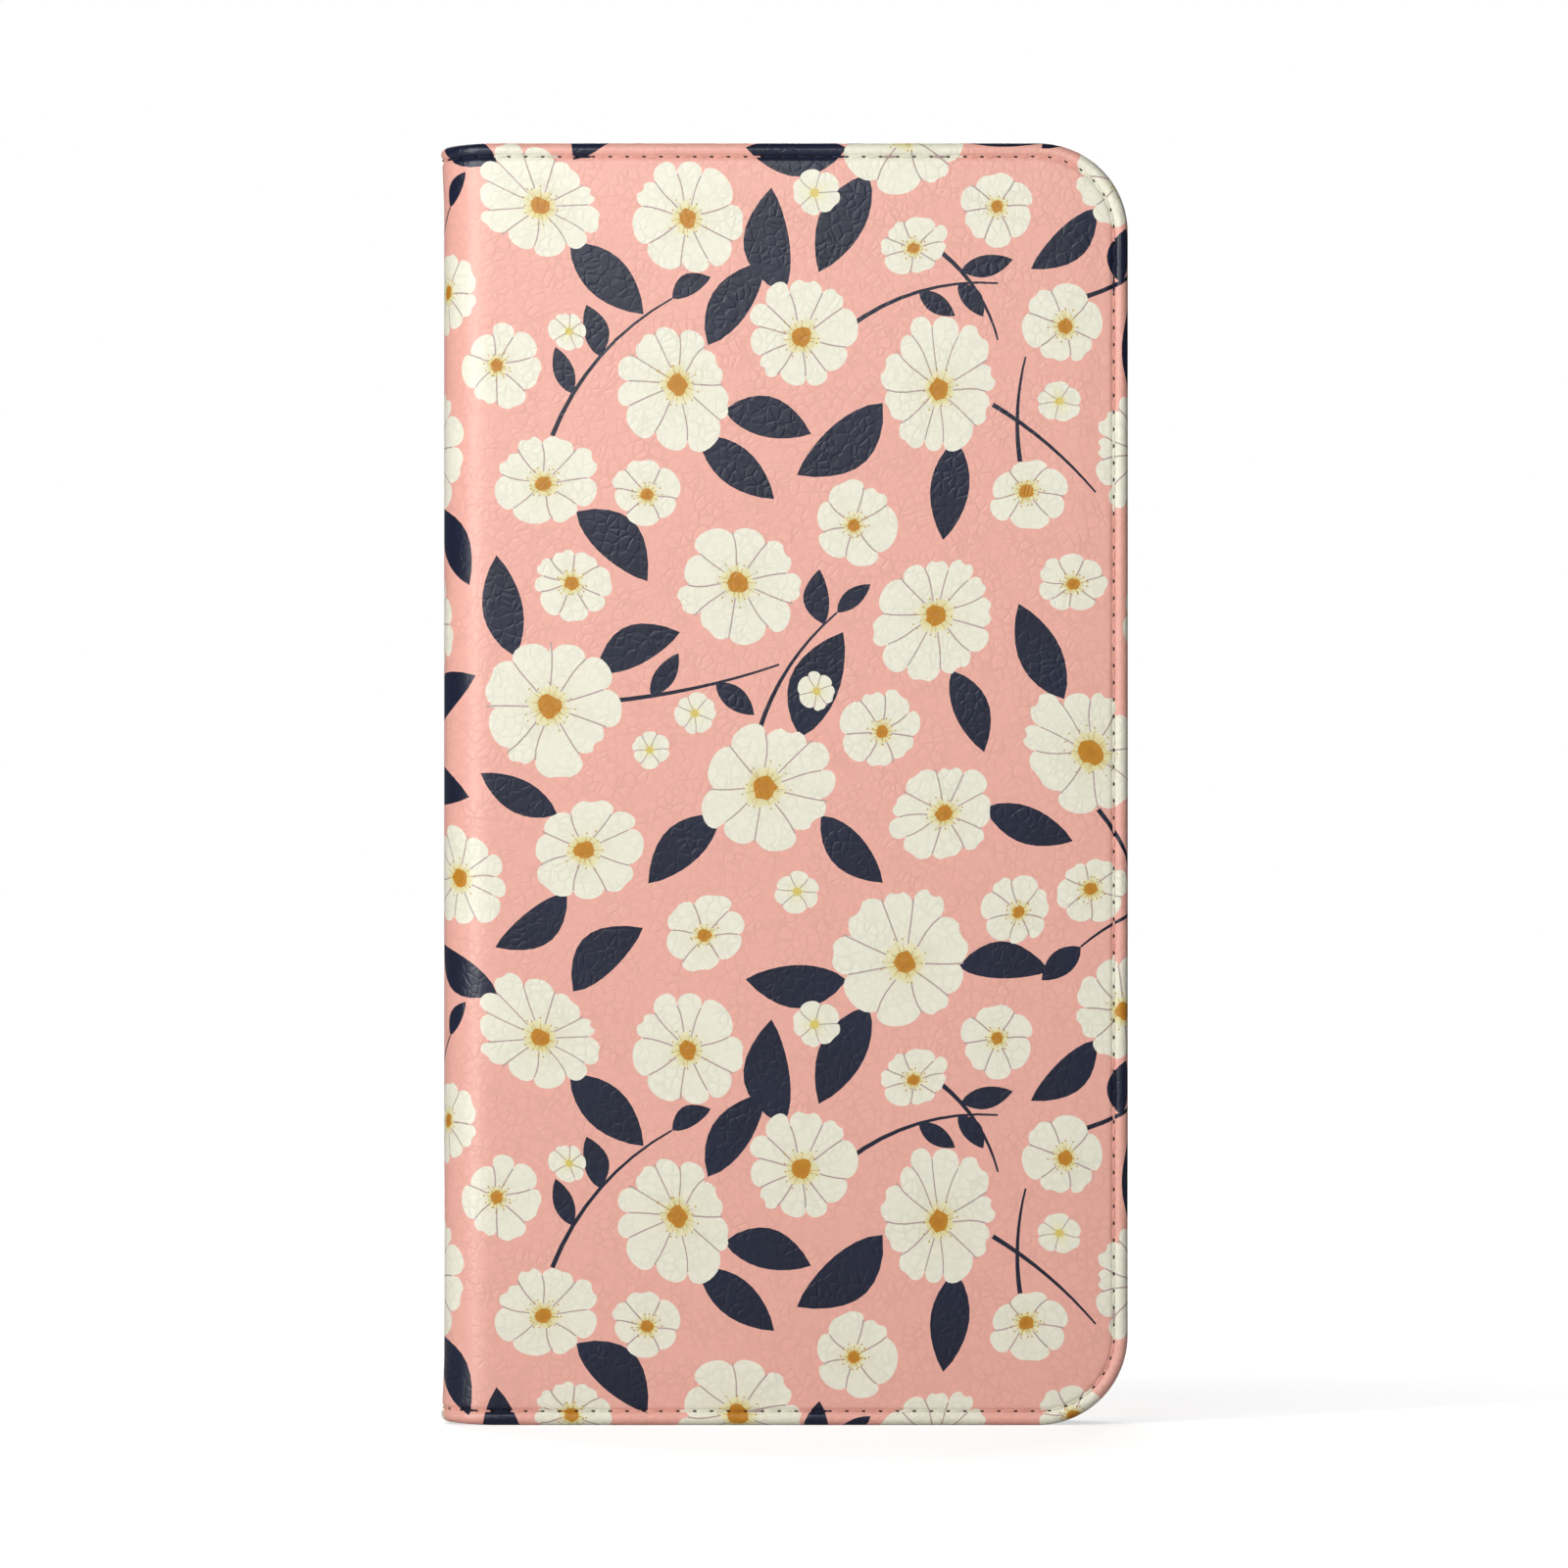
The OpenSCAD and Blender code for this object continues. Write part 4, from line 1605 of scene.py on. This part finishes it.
def row_along(path: Sequence[Point], pitch: float, closed: bool = False) -> list[tuple[Point, Point]]:
    """Even places along a path, with the direction at each.

    Args:
        path: The path's points.
        pitch: The distance wanted between places.
        closed: True for a closed path.

    Returns:
        Place and direction of each.
    """
    points = np.array([*path, path[0]] if closed else path, float)
    steps = np.hypot(*np.diff(points, axis=0).T)
    lengths = np.concatenate([[0.0], np.cumsum(steps)])
    count = max(int(round(lengths[-1] / pitch)), 1)
    found = []
    for i in range(count):
        at = (i + 0.5) / count * lengths[-1]
        here = [float(np.interp(at, lengths, points[:, k])) for k in (0, 1)]
        ahead = [float(np.interp(min(at + 0.3, lengths[-1]), lengths, points[:, k])) for k in (0, 1)]
        behind = [float(np.interp(max(at - 0.3, 0.0), lengths, points[:, k])) for k in (0, 1)]
        size = math.hypot(ahead[0] - behind[0], ahead[1] - behind[1])
        found.append(((here[0], here[1]),
                      ((ahead[0] - behind[0]) / size, (ahead[1] - behind[1]) / size)))
    return found


def rim_stitches(sheet: LaidSheet, inset: float, pitch: float, sink: float,
                 colour: Colour | None = None) -> list[Stitch]:
    """Stitches round the rim of one half sheet.

    Args:
        sheet: The sheet that they are sewn into.
        inset: Their distance from its edge.
        pitch: The distance from one to the next.
        sink: How far above the groove's bottom the thread's ends lie.
        colour: The thread's colour, or None for the print's colour at each stitch.

    Returns:
        The stitches.
    """
    stitches = []
    for (u, v), (du, dv) in row_along(sheet.outline.loop(inset), pitch):
        at_u, at_v = np.array([u, u + du * 0.05]), np.array([v, v + dv * 0.05])
        here, ahead = sheet.showing(at_u, at_v)
        out = sheet.facing(at_u[:1], at_v[:1])[0]
        along = (ahead - here) / np.linalg.norm(ahead - here)
        tint = colour or sheet.colour_near(here, (u, v))
        stitches.append(Stitch(tuple(here + out * sink), tuple(along), tuple(out), tint))
    return stitches


def settle(piece: bpy.types.Object) -> None:
    """Gives a moulded or cut piece even shading, flat on its faces and round at its edges."""
    weigh = piece.modifiers.new("even_shading", "WEIGHTED_NORMAL")
    weigh.keep_sharp = True
    baked = applied(piece, weigh)
    baked.name = piece.name
    piece.data = baked


def solid_piece(name: str, points: Sequence[Sequence[float]], faces: Sequence[Sequence[int]],
                material: bpy.types.Material) -> bpy.types.Object:
    """Makes a closed piece from points in millimetres.

    Args:
        name: The piece's name.
        points: Its points.
        faces: Its faces.
        material: Its material.

    Returns:
        The new object, with its faces pointing outwards.
    """
    mesh = bpy.data.meshes.new(name)
    mesh.from_pydata([[float(c) * MM for c in p] for p in points], [], faces)
    shell = bmesh.new()
    shell.from_mesh(mesh)
    bmesh.ops.remove_doubles(shell, verts=shell.verts, dist=1e-7)
    bmesh.ops.recalc_face_normals(shell, faces=shell.faces)
    for face in shell.faces:
        face.smooth = True
    shell.to_mesh(mesh)
    shell.free()
    mesh.materials.append(material)
    piece = placed(name, mesh)
    settle(piece)
    return piece


def inset_loop(points: Sequence[Point], inset: float) -> Grid:
    """Moves a closed anticlockwise outline inwards, corner by corner."""
    place = np.array(points, float)
    edge = np.roll(place, -1, axis=0) - place
    edge /= np.linalg.norm(edge, axis=1, keepdims=True)
    inward = np.stack([-edge[:, 1], edge[:, 0]], axis=1)
    before = np.roll(inward, 1, axis=0)
    share = 1 + np.sum(inward * before, axis=1, keepdims=True)
    return place + (inward + before) / share * inset


def arc(x: float, y: float, radius: float, start: float, end: float, steps: int) -> list[Point]:
    """Points of an arc, its angles in degrees."""
    turns = [math.radians(start + (end - start) * i / steps) for i in range(steps + 1)]
    return [(x + radius * math.cos(a), y + radius * math.sin(a)) for a in turns]


def fill_between(outer: Grid, hole: Grid | None) -> list[list[int]]:
    """Triangles of a flat area with a hole, on the numbers of its two outlines in turn."""
    layout = Layout()
    layout.area([tuple(p) for p in outer])
    if hole is not None:
        layout.area([tuple(p) for p in hole])
    _, triangles, areas, origins = layout.solve()
    return [[origins[i][0] for i in t] for t, a in zip(triangles, areas) if 0 in a and 1 not in a]


@dataclass
class PocketPanel:
    """A flat leather panel with a rounded edge and a crease pressed along it.

    Attributes:
        name: The piece's name.
        node: The CAD node that it stands for.
        outline: Its outline in X and Z, anticlockwise seen from the back.
        crease_inset: Distance of the crease from the edge.
        crease_depth: Depth of the crease.
        crease_half: Half the crease's width.
    """

    name: str
    node: str
    outline: list[Point]
    crease_inset: float
    crease_depth: float = 0.13
    crease_half: float = 0.42

    def build(self, material: bpy.types.Material) -> bpy.types.Object:
        """Builds the panel between the faces of its CAD node.

        Args:
            material: The panel's leather.

        Returns:
            The new object.
        """
        low, high = box_mm(self.node)
        under, top = float(low[1]), float(high[1])
        roll = (top - under) / 2
        section = [(roll * (1 - math.sin(b)), under + roll - roll * math.cos(b))
                   for b in (0.0, math.pi / 4, math.pi / 2, math.pi * 0.75, math.pi)]
        section += [(self.crease_inset + self.crease_half * s, top - self.crease_depth * d)
                    for s, d in ((-1.0, 0.0), (-0.5, 0.5), (0.0, 1.0), (0.5, 0.5), (1.0, 0.0))]
        points = [(x, level, z) for inset, level in section
                  for x, z in inset_loop(self.outline, inset)]
        count = len(self.outline)
        faces = joined_rings(0, len(section), count)
        faces += [list(range(count)), list(range(len(points) - count, len(points)))]
        piece = solid_piece(self.name, points, faces, material)
        finish_rigid(piece, "front_cover", "pocket_leather", self.node)
        return piece


@dataclass
class Wallet:
    """The cash pocket and the three card pockets inside the front cover.

    Attributes:
        sizes: The case's sizes.
        finishes: The finishes.
        corner: Radius of the card pockets' open corners.
        scoop_radius: Radius of the thumb scoops.
        scoop_depth: Depth of the thumb scoops.
        seam_inset: Distance of the outer pocket's seams from its ends.
        stitch_depth: How deep the thread's ends lie under the leather's face.
    """

    sizes: CaseSizes
    finishes: FinishBook
    corner: float = 4.0
    scoop_radius: float = 16.0
    scoop_depth: float = 5.0
    seam_inset: float = 1.8
    stitch_depth: float = 0.11

    def cash_outline(self) -> list[Point]:
        """Outline of the cash pocket, which follows the cover's round corners."""
        low, high = box_mm("cash_pocket")
        radius = self.sizes.corner - (self.sizes.free_x - float(high[0]))
        right = float(high[0]) - radius
        return [(low[0], low[2]), *arc(right, low[2] + radius, radius, -90, 0, 14),
                *arc(right, high[2] - radius, radius, 0, 90, 14), (low[0], high[2])]

    def card_outline(self, node: str) -> list[Point]:
        """Outline of a card pocket with its thumb scoop."""
        low, high = box_mm(node)
        x0, x1, z0, z1 = float(low[0]), float(high[0]), float(low[2]), float(high[2])
        middle = (z0 + z1) / 2
        turn = math.degrees(math.acos((self.scoop_radius - self.scoop_depth) / self.scoop_radius))
        scoop = arc(x0 - self.scoop_radius + self.scoop_depth, middle, self.scoop_radius,
                    turn, -turn, 16)
        return [(x1, z0), (x1, z1), *arc(x0 + self.corner, z1 - self.corner, self.corner, 90, 180, 6),
                *scoop, *arc(x0 + self.corner, z0 + self.corner, self.corner, 180, 270, 6)]

    def build(self, stitcher: StitchMaker) -> None:
        """Builds the panels and the outer pocket's seams.

        Args:
            stitcher: Sews the stitches.
        """
        leather = self.finishes.get(FinishBook.POCKET)
        rim = self.sizes.stitch_inset - (self.sizes.free_x - float(box_mm("cash_pocket")[1][0]))
        cash = PocketPanel("cash_pocket_panel", "cash_pocket", self.cash_outline(), rim)
        cash.build(leather)
        for place in ("inner", "middle", "outer"):
            node = f"card_pocket_{place}"
            panel = PocketPanel(f"{place}_card_pocket", node, self.card_outline(node),
                                self.seam_inset)
            panel.build(leather)
        low, high = box_mm("card_pocket_outer")
        seam_low, seam_high = box_mm("pocket_stitching")
        rows = [[(float(seam_low[0]), z), (float(seam_high[0]), z)]
                for z in (float(low[2]) + self.seam_inset, float(high[2]) - self.seam_inset)]
        self.sew(stitcher, "pocket_seams", rows, float(high[1]), "pocket_stitching")
        outline = [tuple(p) for p in inset_loop(self.cash_outline(), rim)]
        self.sew(stitcher, "cash_pocket_seam", [outline], float(box_mm("cash_pocket")[1][1]))

    def sew(self, stitcher: StitchMaker, name: str, rows: list[list[Point]], face: float,
            *nodes: str) -> None:
        """Sews rows that ride on the front cover.

        Args:
            stitcher: Sews the stitches.
            name: The piece's name.
            rows: Paths of the rows, in X and Z.
            face: Place in Y of the panel's showing face.
            *nodes: CAD nodes that the piece stands for.
        """
        level = face - self.stitch_depth
        stitches = [Stitch((x, level, z), (dx, 0.0, dz), (0.0, 1.0, 0.0), PLAIN_TINT)
                    for path in rows for (x, z), (dx, dz) in row_along(path, stitcher.pitch)]
        piece = stitcher.sew(name, stitches, self.finishes.get(FinishBook.INNER_THREAD),
                             self.finishes.get(FinishBook.NEEDLE_HOLE))
        finish_rigid(piece, "front_cover", "inner_thread", *nodes)


@dataclass
class Lining:
    """The microfibre lining, folded with the cover.

    Attributes:
        sizes: The case's sizes.
        finishes: The finishes.
        inset: How far the lining stays inside the cover's edge.
        groove: Depth of the groove that the stitches lie in.
        groove_half: Half the groove's width.
    """

    sizes: CaseSizes
    finishes: FinishBook
    inset: float = 0.6
    groove: float = 0.13
    groove_half: float = 0.34

    @property
    def seam(self) -> float:
        """Distance of the stitches from the lining's edge."""
        return self.sizes.stitch_inset - self.inset

    def relief(self, inside: Grid) -> Grid:
        """Depth pressed into the lining by the stitches."""
        return self.groove * np.exp(-(((inside - self.seam) / self.groove_half) ** 2))

    def build(self, half: Half) -> LaidSheet:
        """Builds the lining of one half.

        Args:
            half: Which half.

        Returns:
            The sheet, for the stitches to lie on.
        """
        profile, outline = self.sizes.outline(half, self.inset)
        low, high = box_mm("front_lining")
        thickness = float(high[1] - low[1])
        level = float(high[1]) - self.sizes.front_y
        sheet = LaidSheet(profile, outline, level, -1, thickness / 2, thickness, self.relief,
                          (0.8, 1.0, 1.2, 1.4, 1.6), (0.1, 0.1, 0.1))
        piece = sheet.make(f"{half.value[0]}_microfibre_lining",
                           self.finishes.get(FinishBook.LINING))
        finish_half(piece, half, "lining")
        return sheet

    def sew_rim(self, half: Half, sheet: LaidSheet, stitcher: StitchMaker) -> None:
        """Sews the inner face of the rim's stitches, as far as the cash pocket.

        Args:
            half: Which half.
            sheet: The half's lining.
            stitcher: Sews the stitches.
        """
        pocket = float(box_mm("cash_pocket")[0][0]) - 0.6
        stitches = [stitch for stitch in rim_stitches(sheet, self.seam, stitcher.pitch,
                                                      THREAD_SINK, PLAIN_TINT)
                    if half is Half.BACK or stitch.place[0] < pocket]
        row = stitcher.sew(f"{half.value[0]}_lining_stitches", stitches,
                           self.finishes.get(FinishBook.INNER_THREAD),
                           self.finishes.get(FinishBook.NEEDLE_HOLE))
        finish_half(row, half, None)


@dataclass
class PhoneTray:
    """The moulded tray that grips the phone, with a lip, side cut-outs and a camera hole.

    Attributes:
        finishes: The finishes.
        wall: Thickness of the wall.
        lip_reach: How far the lip leans in over the phone.
        lip_height: Height of the lip's face.
        corner: Radius of the tray's corners.
        floor_y: Place of the floor's inner face.
        ramp: Length over which the wall falls to a cut-out.
        camera_half: Half the camera hole's width and height.
        camera_corner: Radius of the camera hole's corners.
        spacing: Distance between the points of a straight side.
    """

    finishes: FinishBook
    wall: float = 1.4
    lip_reach: float = 1.0
    lip_height: float = 0.9
    corner: float = 10.9
    floor_y: float = 4.6
    ramp: float = 2.4
    camera_half: Point = (18.0, 9.0)
    camera_corner: float = 7.0
    spacing: float = 0.8

    def path(self) -> Grid:
        """Outline of the tray with extra points round its cut-outs, anticlockwise in X and Z."""
        low, high = box_mm("phone_tray")
        x0, x1, z0, z1 = float(low[0]), float(high[0]), float(low[2]), float(high[2])
        r = self.corner
        corners = [*arc(x1 - r, z0 + r, r, -90, 0, 12), *arc(x1 - r, z1 - r, r, 0, 90, 12),
                   *arc(x0 + r, z1 - r, r, 90, 180, 12), *arc(x0 + r, z0 + r, r, 180, 270, 12)]
        points: list[Point] = []
        for i, here in enumerate(corners):
            points.append(here)
            ahead = corners[(i + 1) % len(corners)]
            length = math.dist(here, ahead)
            stops = max(int(length / self.spacing), 1) if length > 5 else 1
            for k in range(1, stops):
                points.append((here[0] + (ahead[0] - here[0]) * k / stops,
                               here[1] + (ahead[1] - here[1]) * k / stops))
        return np.array(points)

    def heights(self, path: Grid) -> Grid:
        """Share of the full wall height at each point of the path."""
        low, high = box_mm("phone_tray")
        x, z = path[:, 0], path[:, 1]
        share = np.ones(len(path))
        for name, axis, along, near in (("port_cut_out", 0, x, z - low[2] < 0.01),
                                        ("volume_cut_out", 2, z, x - low[0] < 0.01),
                                        ("power_cut_out", 2, z, high[0] - x < 0.01)):
            start, end = (float(corner[axis]) for corner in opening_mm(name))
            away = np.abs(along - (start + end) / 2) - (end - start) / 2 - 1.0
            share = np.where(near, np.minimum(share, ease(away / self.ramp)), share)
        return share

    def section(self, share: float) -> list[tuple[float, float]]:
        """Section of the wall as inset from the outline and Y, from the back to the floor.

        Args:
            share: Share of the full height.

        Returns:
            The section's points.
        """
        low, high = box_mm("phone_tray")
        back, full = float(high[1]), float(low[1])
        sill = self.floor_y - 0.12
        top = sill + (full - sill) * share
        tall = self.floor_y - top
        inner = 0.04 + (self.lip_reach - 0.04) * float(ease(np.array(share * 1.6 - 0.6)))
        reach = self.wall + inner
        lip = min(self.lip_height, tall * 0.35)
        edge = min(0.35, tall * 0.2)
        fillet = min(0.8, tall * 0.2)
        under = top + lip
        return [(0.9, back), (0.28, back - 0.24), (0.0, back - 0.8), (0.0, back - 0.9 - tall * 0.3),
                (0.0, top + edge), (edge * 0.3, top + edge * 0.3), (edge, top),
                (reach - edge, top), (reach - edge * 0.3, top + edge * 0.3), (reach, top + edge),
                (reach, under - lip * 0.25), (reach - inner * 0.12, under),
                (self.wall + inner * 0.15, under + inner * 0.5), (self.wall, under + inner * 0.75),
                (self.wall, self.floor_y - fillet),
                (self.wall + fillet * 0.3, self.floor_y - fillet * 0.3),
                (self.wall + fillet, self.floor_y)]

    def build(self) -> None:
        """Builds the tray."""
        path = self.path()
        shares = self.heights(path)
        count = len(path)
        sections = [self.section(float(share)) for share in shares]
        rings = len(sections[0])
        inward = inset_loop(path, 1.0) - path
        points: list[tuple[float, float, float]] = []
        for ring in range(rings):
            for i in range(count):
                inset, y = sections[i][ring]
                points.append((path[i, 0] + inward[i, 0] * inset, y, path[i, 1] + inward[i, 1] * inset))
        low, high = opening_mm("camera_hole")
        hole = RoundHole(float(low[0] + high[0]) / 2, float(low[2] + high[2]) / 2,
                         *self.camera_half, self.camera_corner)
        back = float(box_mm("phone_tray")[1][1])
        first = len(points)
        rim = [(0.3, self.floor_y), (0.08, self.floor_y + 0.08), (0.0, self.floor_y + 0.3),
               (0.0, back - 0.3), (0.08, back - 0.08), (0.3, back)]
        loops = [hole.loop(distance) for distance, _ in rim]
        turn = len(loops[0])
        for loop, (_, y) in zip(loops, rim):
            points.extend((x, y, z) for x, z in loop)
        faces = joined_rings(0, rings, count) + joined_rings(first, len(rim), turn)
        for ring, start in (((rings - 1) * count, first), (0, first + (len(rim) - 1) * turn)):
            outer = np.array([(points[ring + i][0], points[ring + i][2]) for i in range(count)])
            inner = np.array([(points[start + i][0], points[start + i][2]) for i in range(turn)])
            numbers = [*range(ring, ring + count), *range(start, start + turn)]
            faces += [[numbers[i] for i in t] for t in fill_between(outer, inner)]
        piece = solid_piece("moulded_phone_tray", points, faces,
                            self.finishes.get(FinishBook.TRAY))
        finish_rigid(piece, "back_cover", "tray", "phone_tray")


def dress_hidden_parts(finishes: FinishBook) -> None:
    """Dresses the CAD parts that stay: the boards, the magnets, the steel bars and the foam."""
    plan = {"front_board": FinishBook.BOARD, "spine_board": FinishBook.BOARD,
            "back_board": FinishBook.BOARD, "front_magnets": FinishBook.MAGNET,
            "keeper_bars": FinishBook.STEEL, "tray_adhesive": FinishBook.FOAM}
    for node, finish in plan.items():
        for holder in frame["nodes"][node].material_slots:
            holder.material = finishes.get(finish)
        LOG.info("%s: %s", node, finish.name)


def set_stage(sizes: CaseSizes) -> None:
    """Sets the floor, the lights and the camera, square on to the front cover.

    Args:
        sizes: The case's sizes.
    """
    scene = bpy.context.scene
    scene.view_settings.view_transform = "Standard"
    scene.view_settings.look = "None"
    centre = Vector(((sizes.spine_x + sizes.free_x) / 2 * MM, 0, sizes.height / 2 * MM))
    set_camera(centre, sizes.front_y * MM)
    world = bpy.data.worlds.new("white_room")
    scene.world = world
    world.use_nodes = True
    set_room(Sockets(world.node_tree), world.node_tree.nodes["Background"])
    set_floor()
    for name, place, size, power in (
        ("key_light", (-0.08, -0.36, 0.24), (0.17, 0.17), 0.51),
        ("side_strip", (-0.5, -0.7, 0.3), (0.08, 0.8), 5.2),
        ("back_light", (-0.1, 1.1, 0.6), (0.8, 0.8), 9.0),
    ):
        lamp = bpy.data.lights.new(name, "AREA")
        lamp.shape = "RECTANGLE"
        lamp.size, lamp.size_y = size
        lamp.energy = power
        holder = placed(name, lamp)
        holder.location = place
        holder.rotation_euler = (centre - Vector(place)).to_track_quat("-Z", "Y").to_euler()


def set_camera(centre: Vector, face: float) -> None:
    """Sets the camera square on to the front cover.

    Args:
        centre: Middle of the case.
        face: Place of the front cover's face in Y.
    """
    distance, seen = 1.9, 0.2017
    camera = bpy.data.cameras.new("camera")
    camera.sensor_width = 36.0
    camera.lens = camera.sensor_width * distance / seen
    camera.clip_end = 30.0
    eye = placed("camera", camera)
    eye.location = (centre.x, face - distance, centre.z)
    eye.rotation_euler = (math.pi / 2, 0, 0)
    bpy.context.scene.camera = eye


def set_room(net: Sockets, background: bpy.types.Node) -> None:
    """Makes the room white to look at, and dim as a light."""
    fill = 0.12
    ray = net.add("ShaderNodeLightPath").outputs["Is Camera Ray"]
    net.join((1.0, 1.0, 1.0, 1.0), background.inputs["Color"])
    net.join(net.spread({"Value": ray, "To Min": fill, "To Max": 1.0}),
             background.inputs["Strength"])


def set_floor() -> None:
    """Sets a pale floor with a painted glow that the camera alone sees, strongest away from the case,
    so that the floor fades into the white room.
    """
    half = 6.0
    mesh = bpy.data.meshes.new("floor")
    mesh.from_pydata([(-half, -half, 0), (half, -half, 0), (half, half, 0), (-half, half, 0)], [],
                     [(0, 1, 2, 3)])
    floor = placed("floor", mesh)
    paint = bpy.data.materials.new("pale_floor")
    paint.use_nodes = True
    shader = paint.node_tree.nodes["Principled BSDF"]
    net = Sockets(paint.node_tree)
    ray = net.add("ShaderNodeLightPath").outputs["Is Camera Ray"]
    where = net.add("ShaderNodeTexCoord").outputs["Object"]
    away = net.add("ShaderNodeVectorMath", {0: where}, operation="LENGTH").outputs["Value"]
    # Painted glow: the floor glows for camera rays, more the further it is from the case, which
    # lightens the shade on it.
    glow = net.spread({"Value": away, "From Min": 0.06, "From Max": 0.5,
                       "To Min": 0.62, "To Max": 1.0}, interpolation_type="SMOOTHSTEP")
    for name, value in (("Base Color", (0.6, 0.6, 0.6, 1.0)), ("Roughness", 0.9),
                        ("Specular IOR Level", 0.1), ("Emission Color", (1.0, 1.0, 1.0, 1.0)),
                        ("Emission Strength", net.maths("MULTIPLY", ray, glow))):
        net.join(value, shader.inputs[name])
    mesh.materials.append(paint)


def main() -> None:
    """Builds the case and its stage."""
    logging.basicConfig(level=logging.INFO, format="%(name)s: %(message)s")
    sizes = CaseSizes()
    finishes = FinishBook()
    set_stage(sizes)
    cover = PrintedCover(sizes, finishes, FlowerPrint())
    stitcher = StitchMaker()
    lining = Lining(sizes, finishes)
    for half in Half:
        for layer in (cover, lining):
            layer.sew_rim(half, layer.build(half), stitcher)
    Wallet(sizes, finishes).build(stitcher)
    PhoneTray(finishes).build()
    dress_hidden_parts(finishes)


if __name__ == "__main__":
    main()
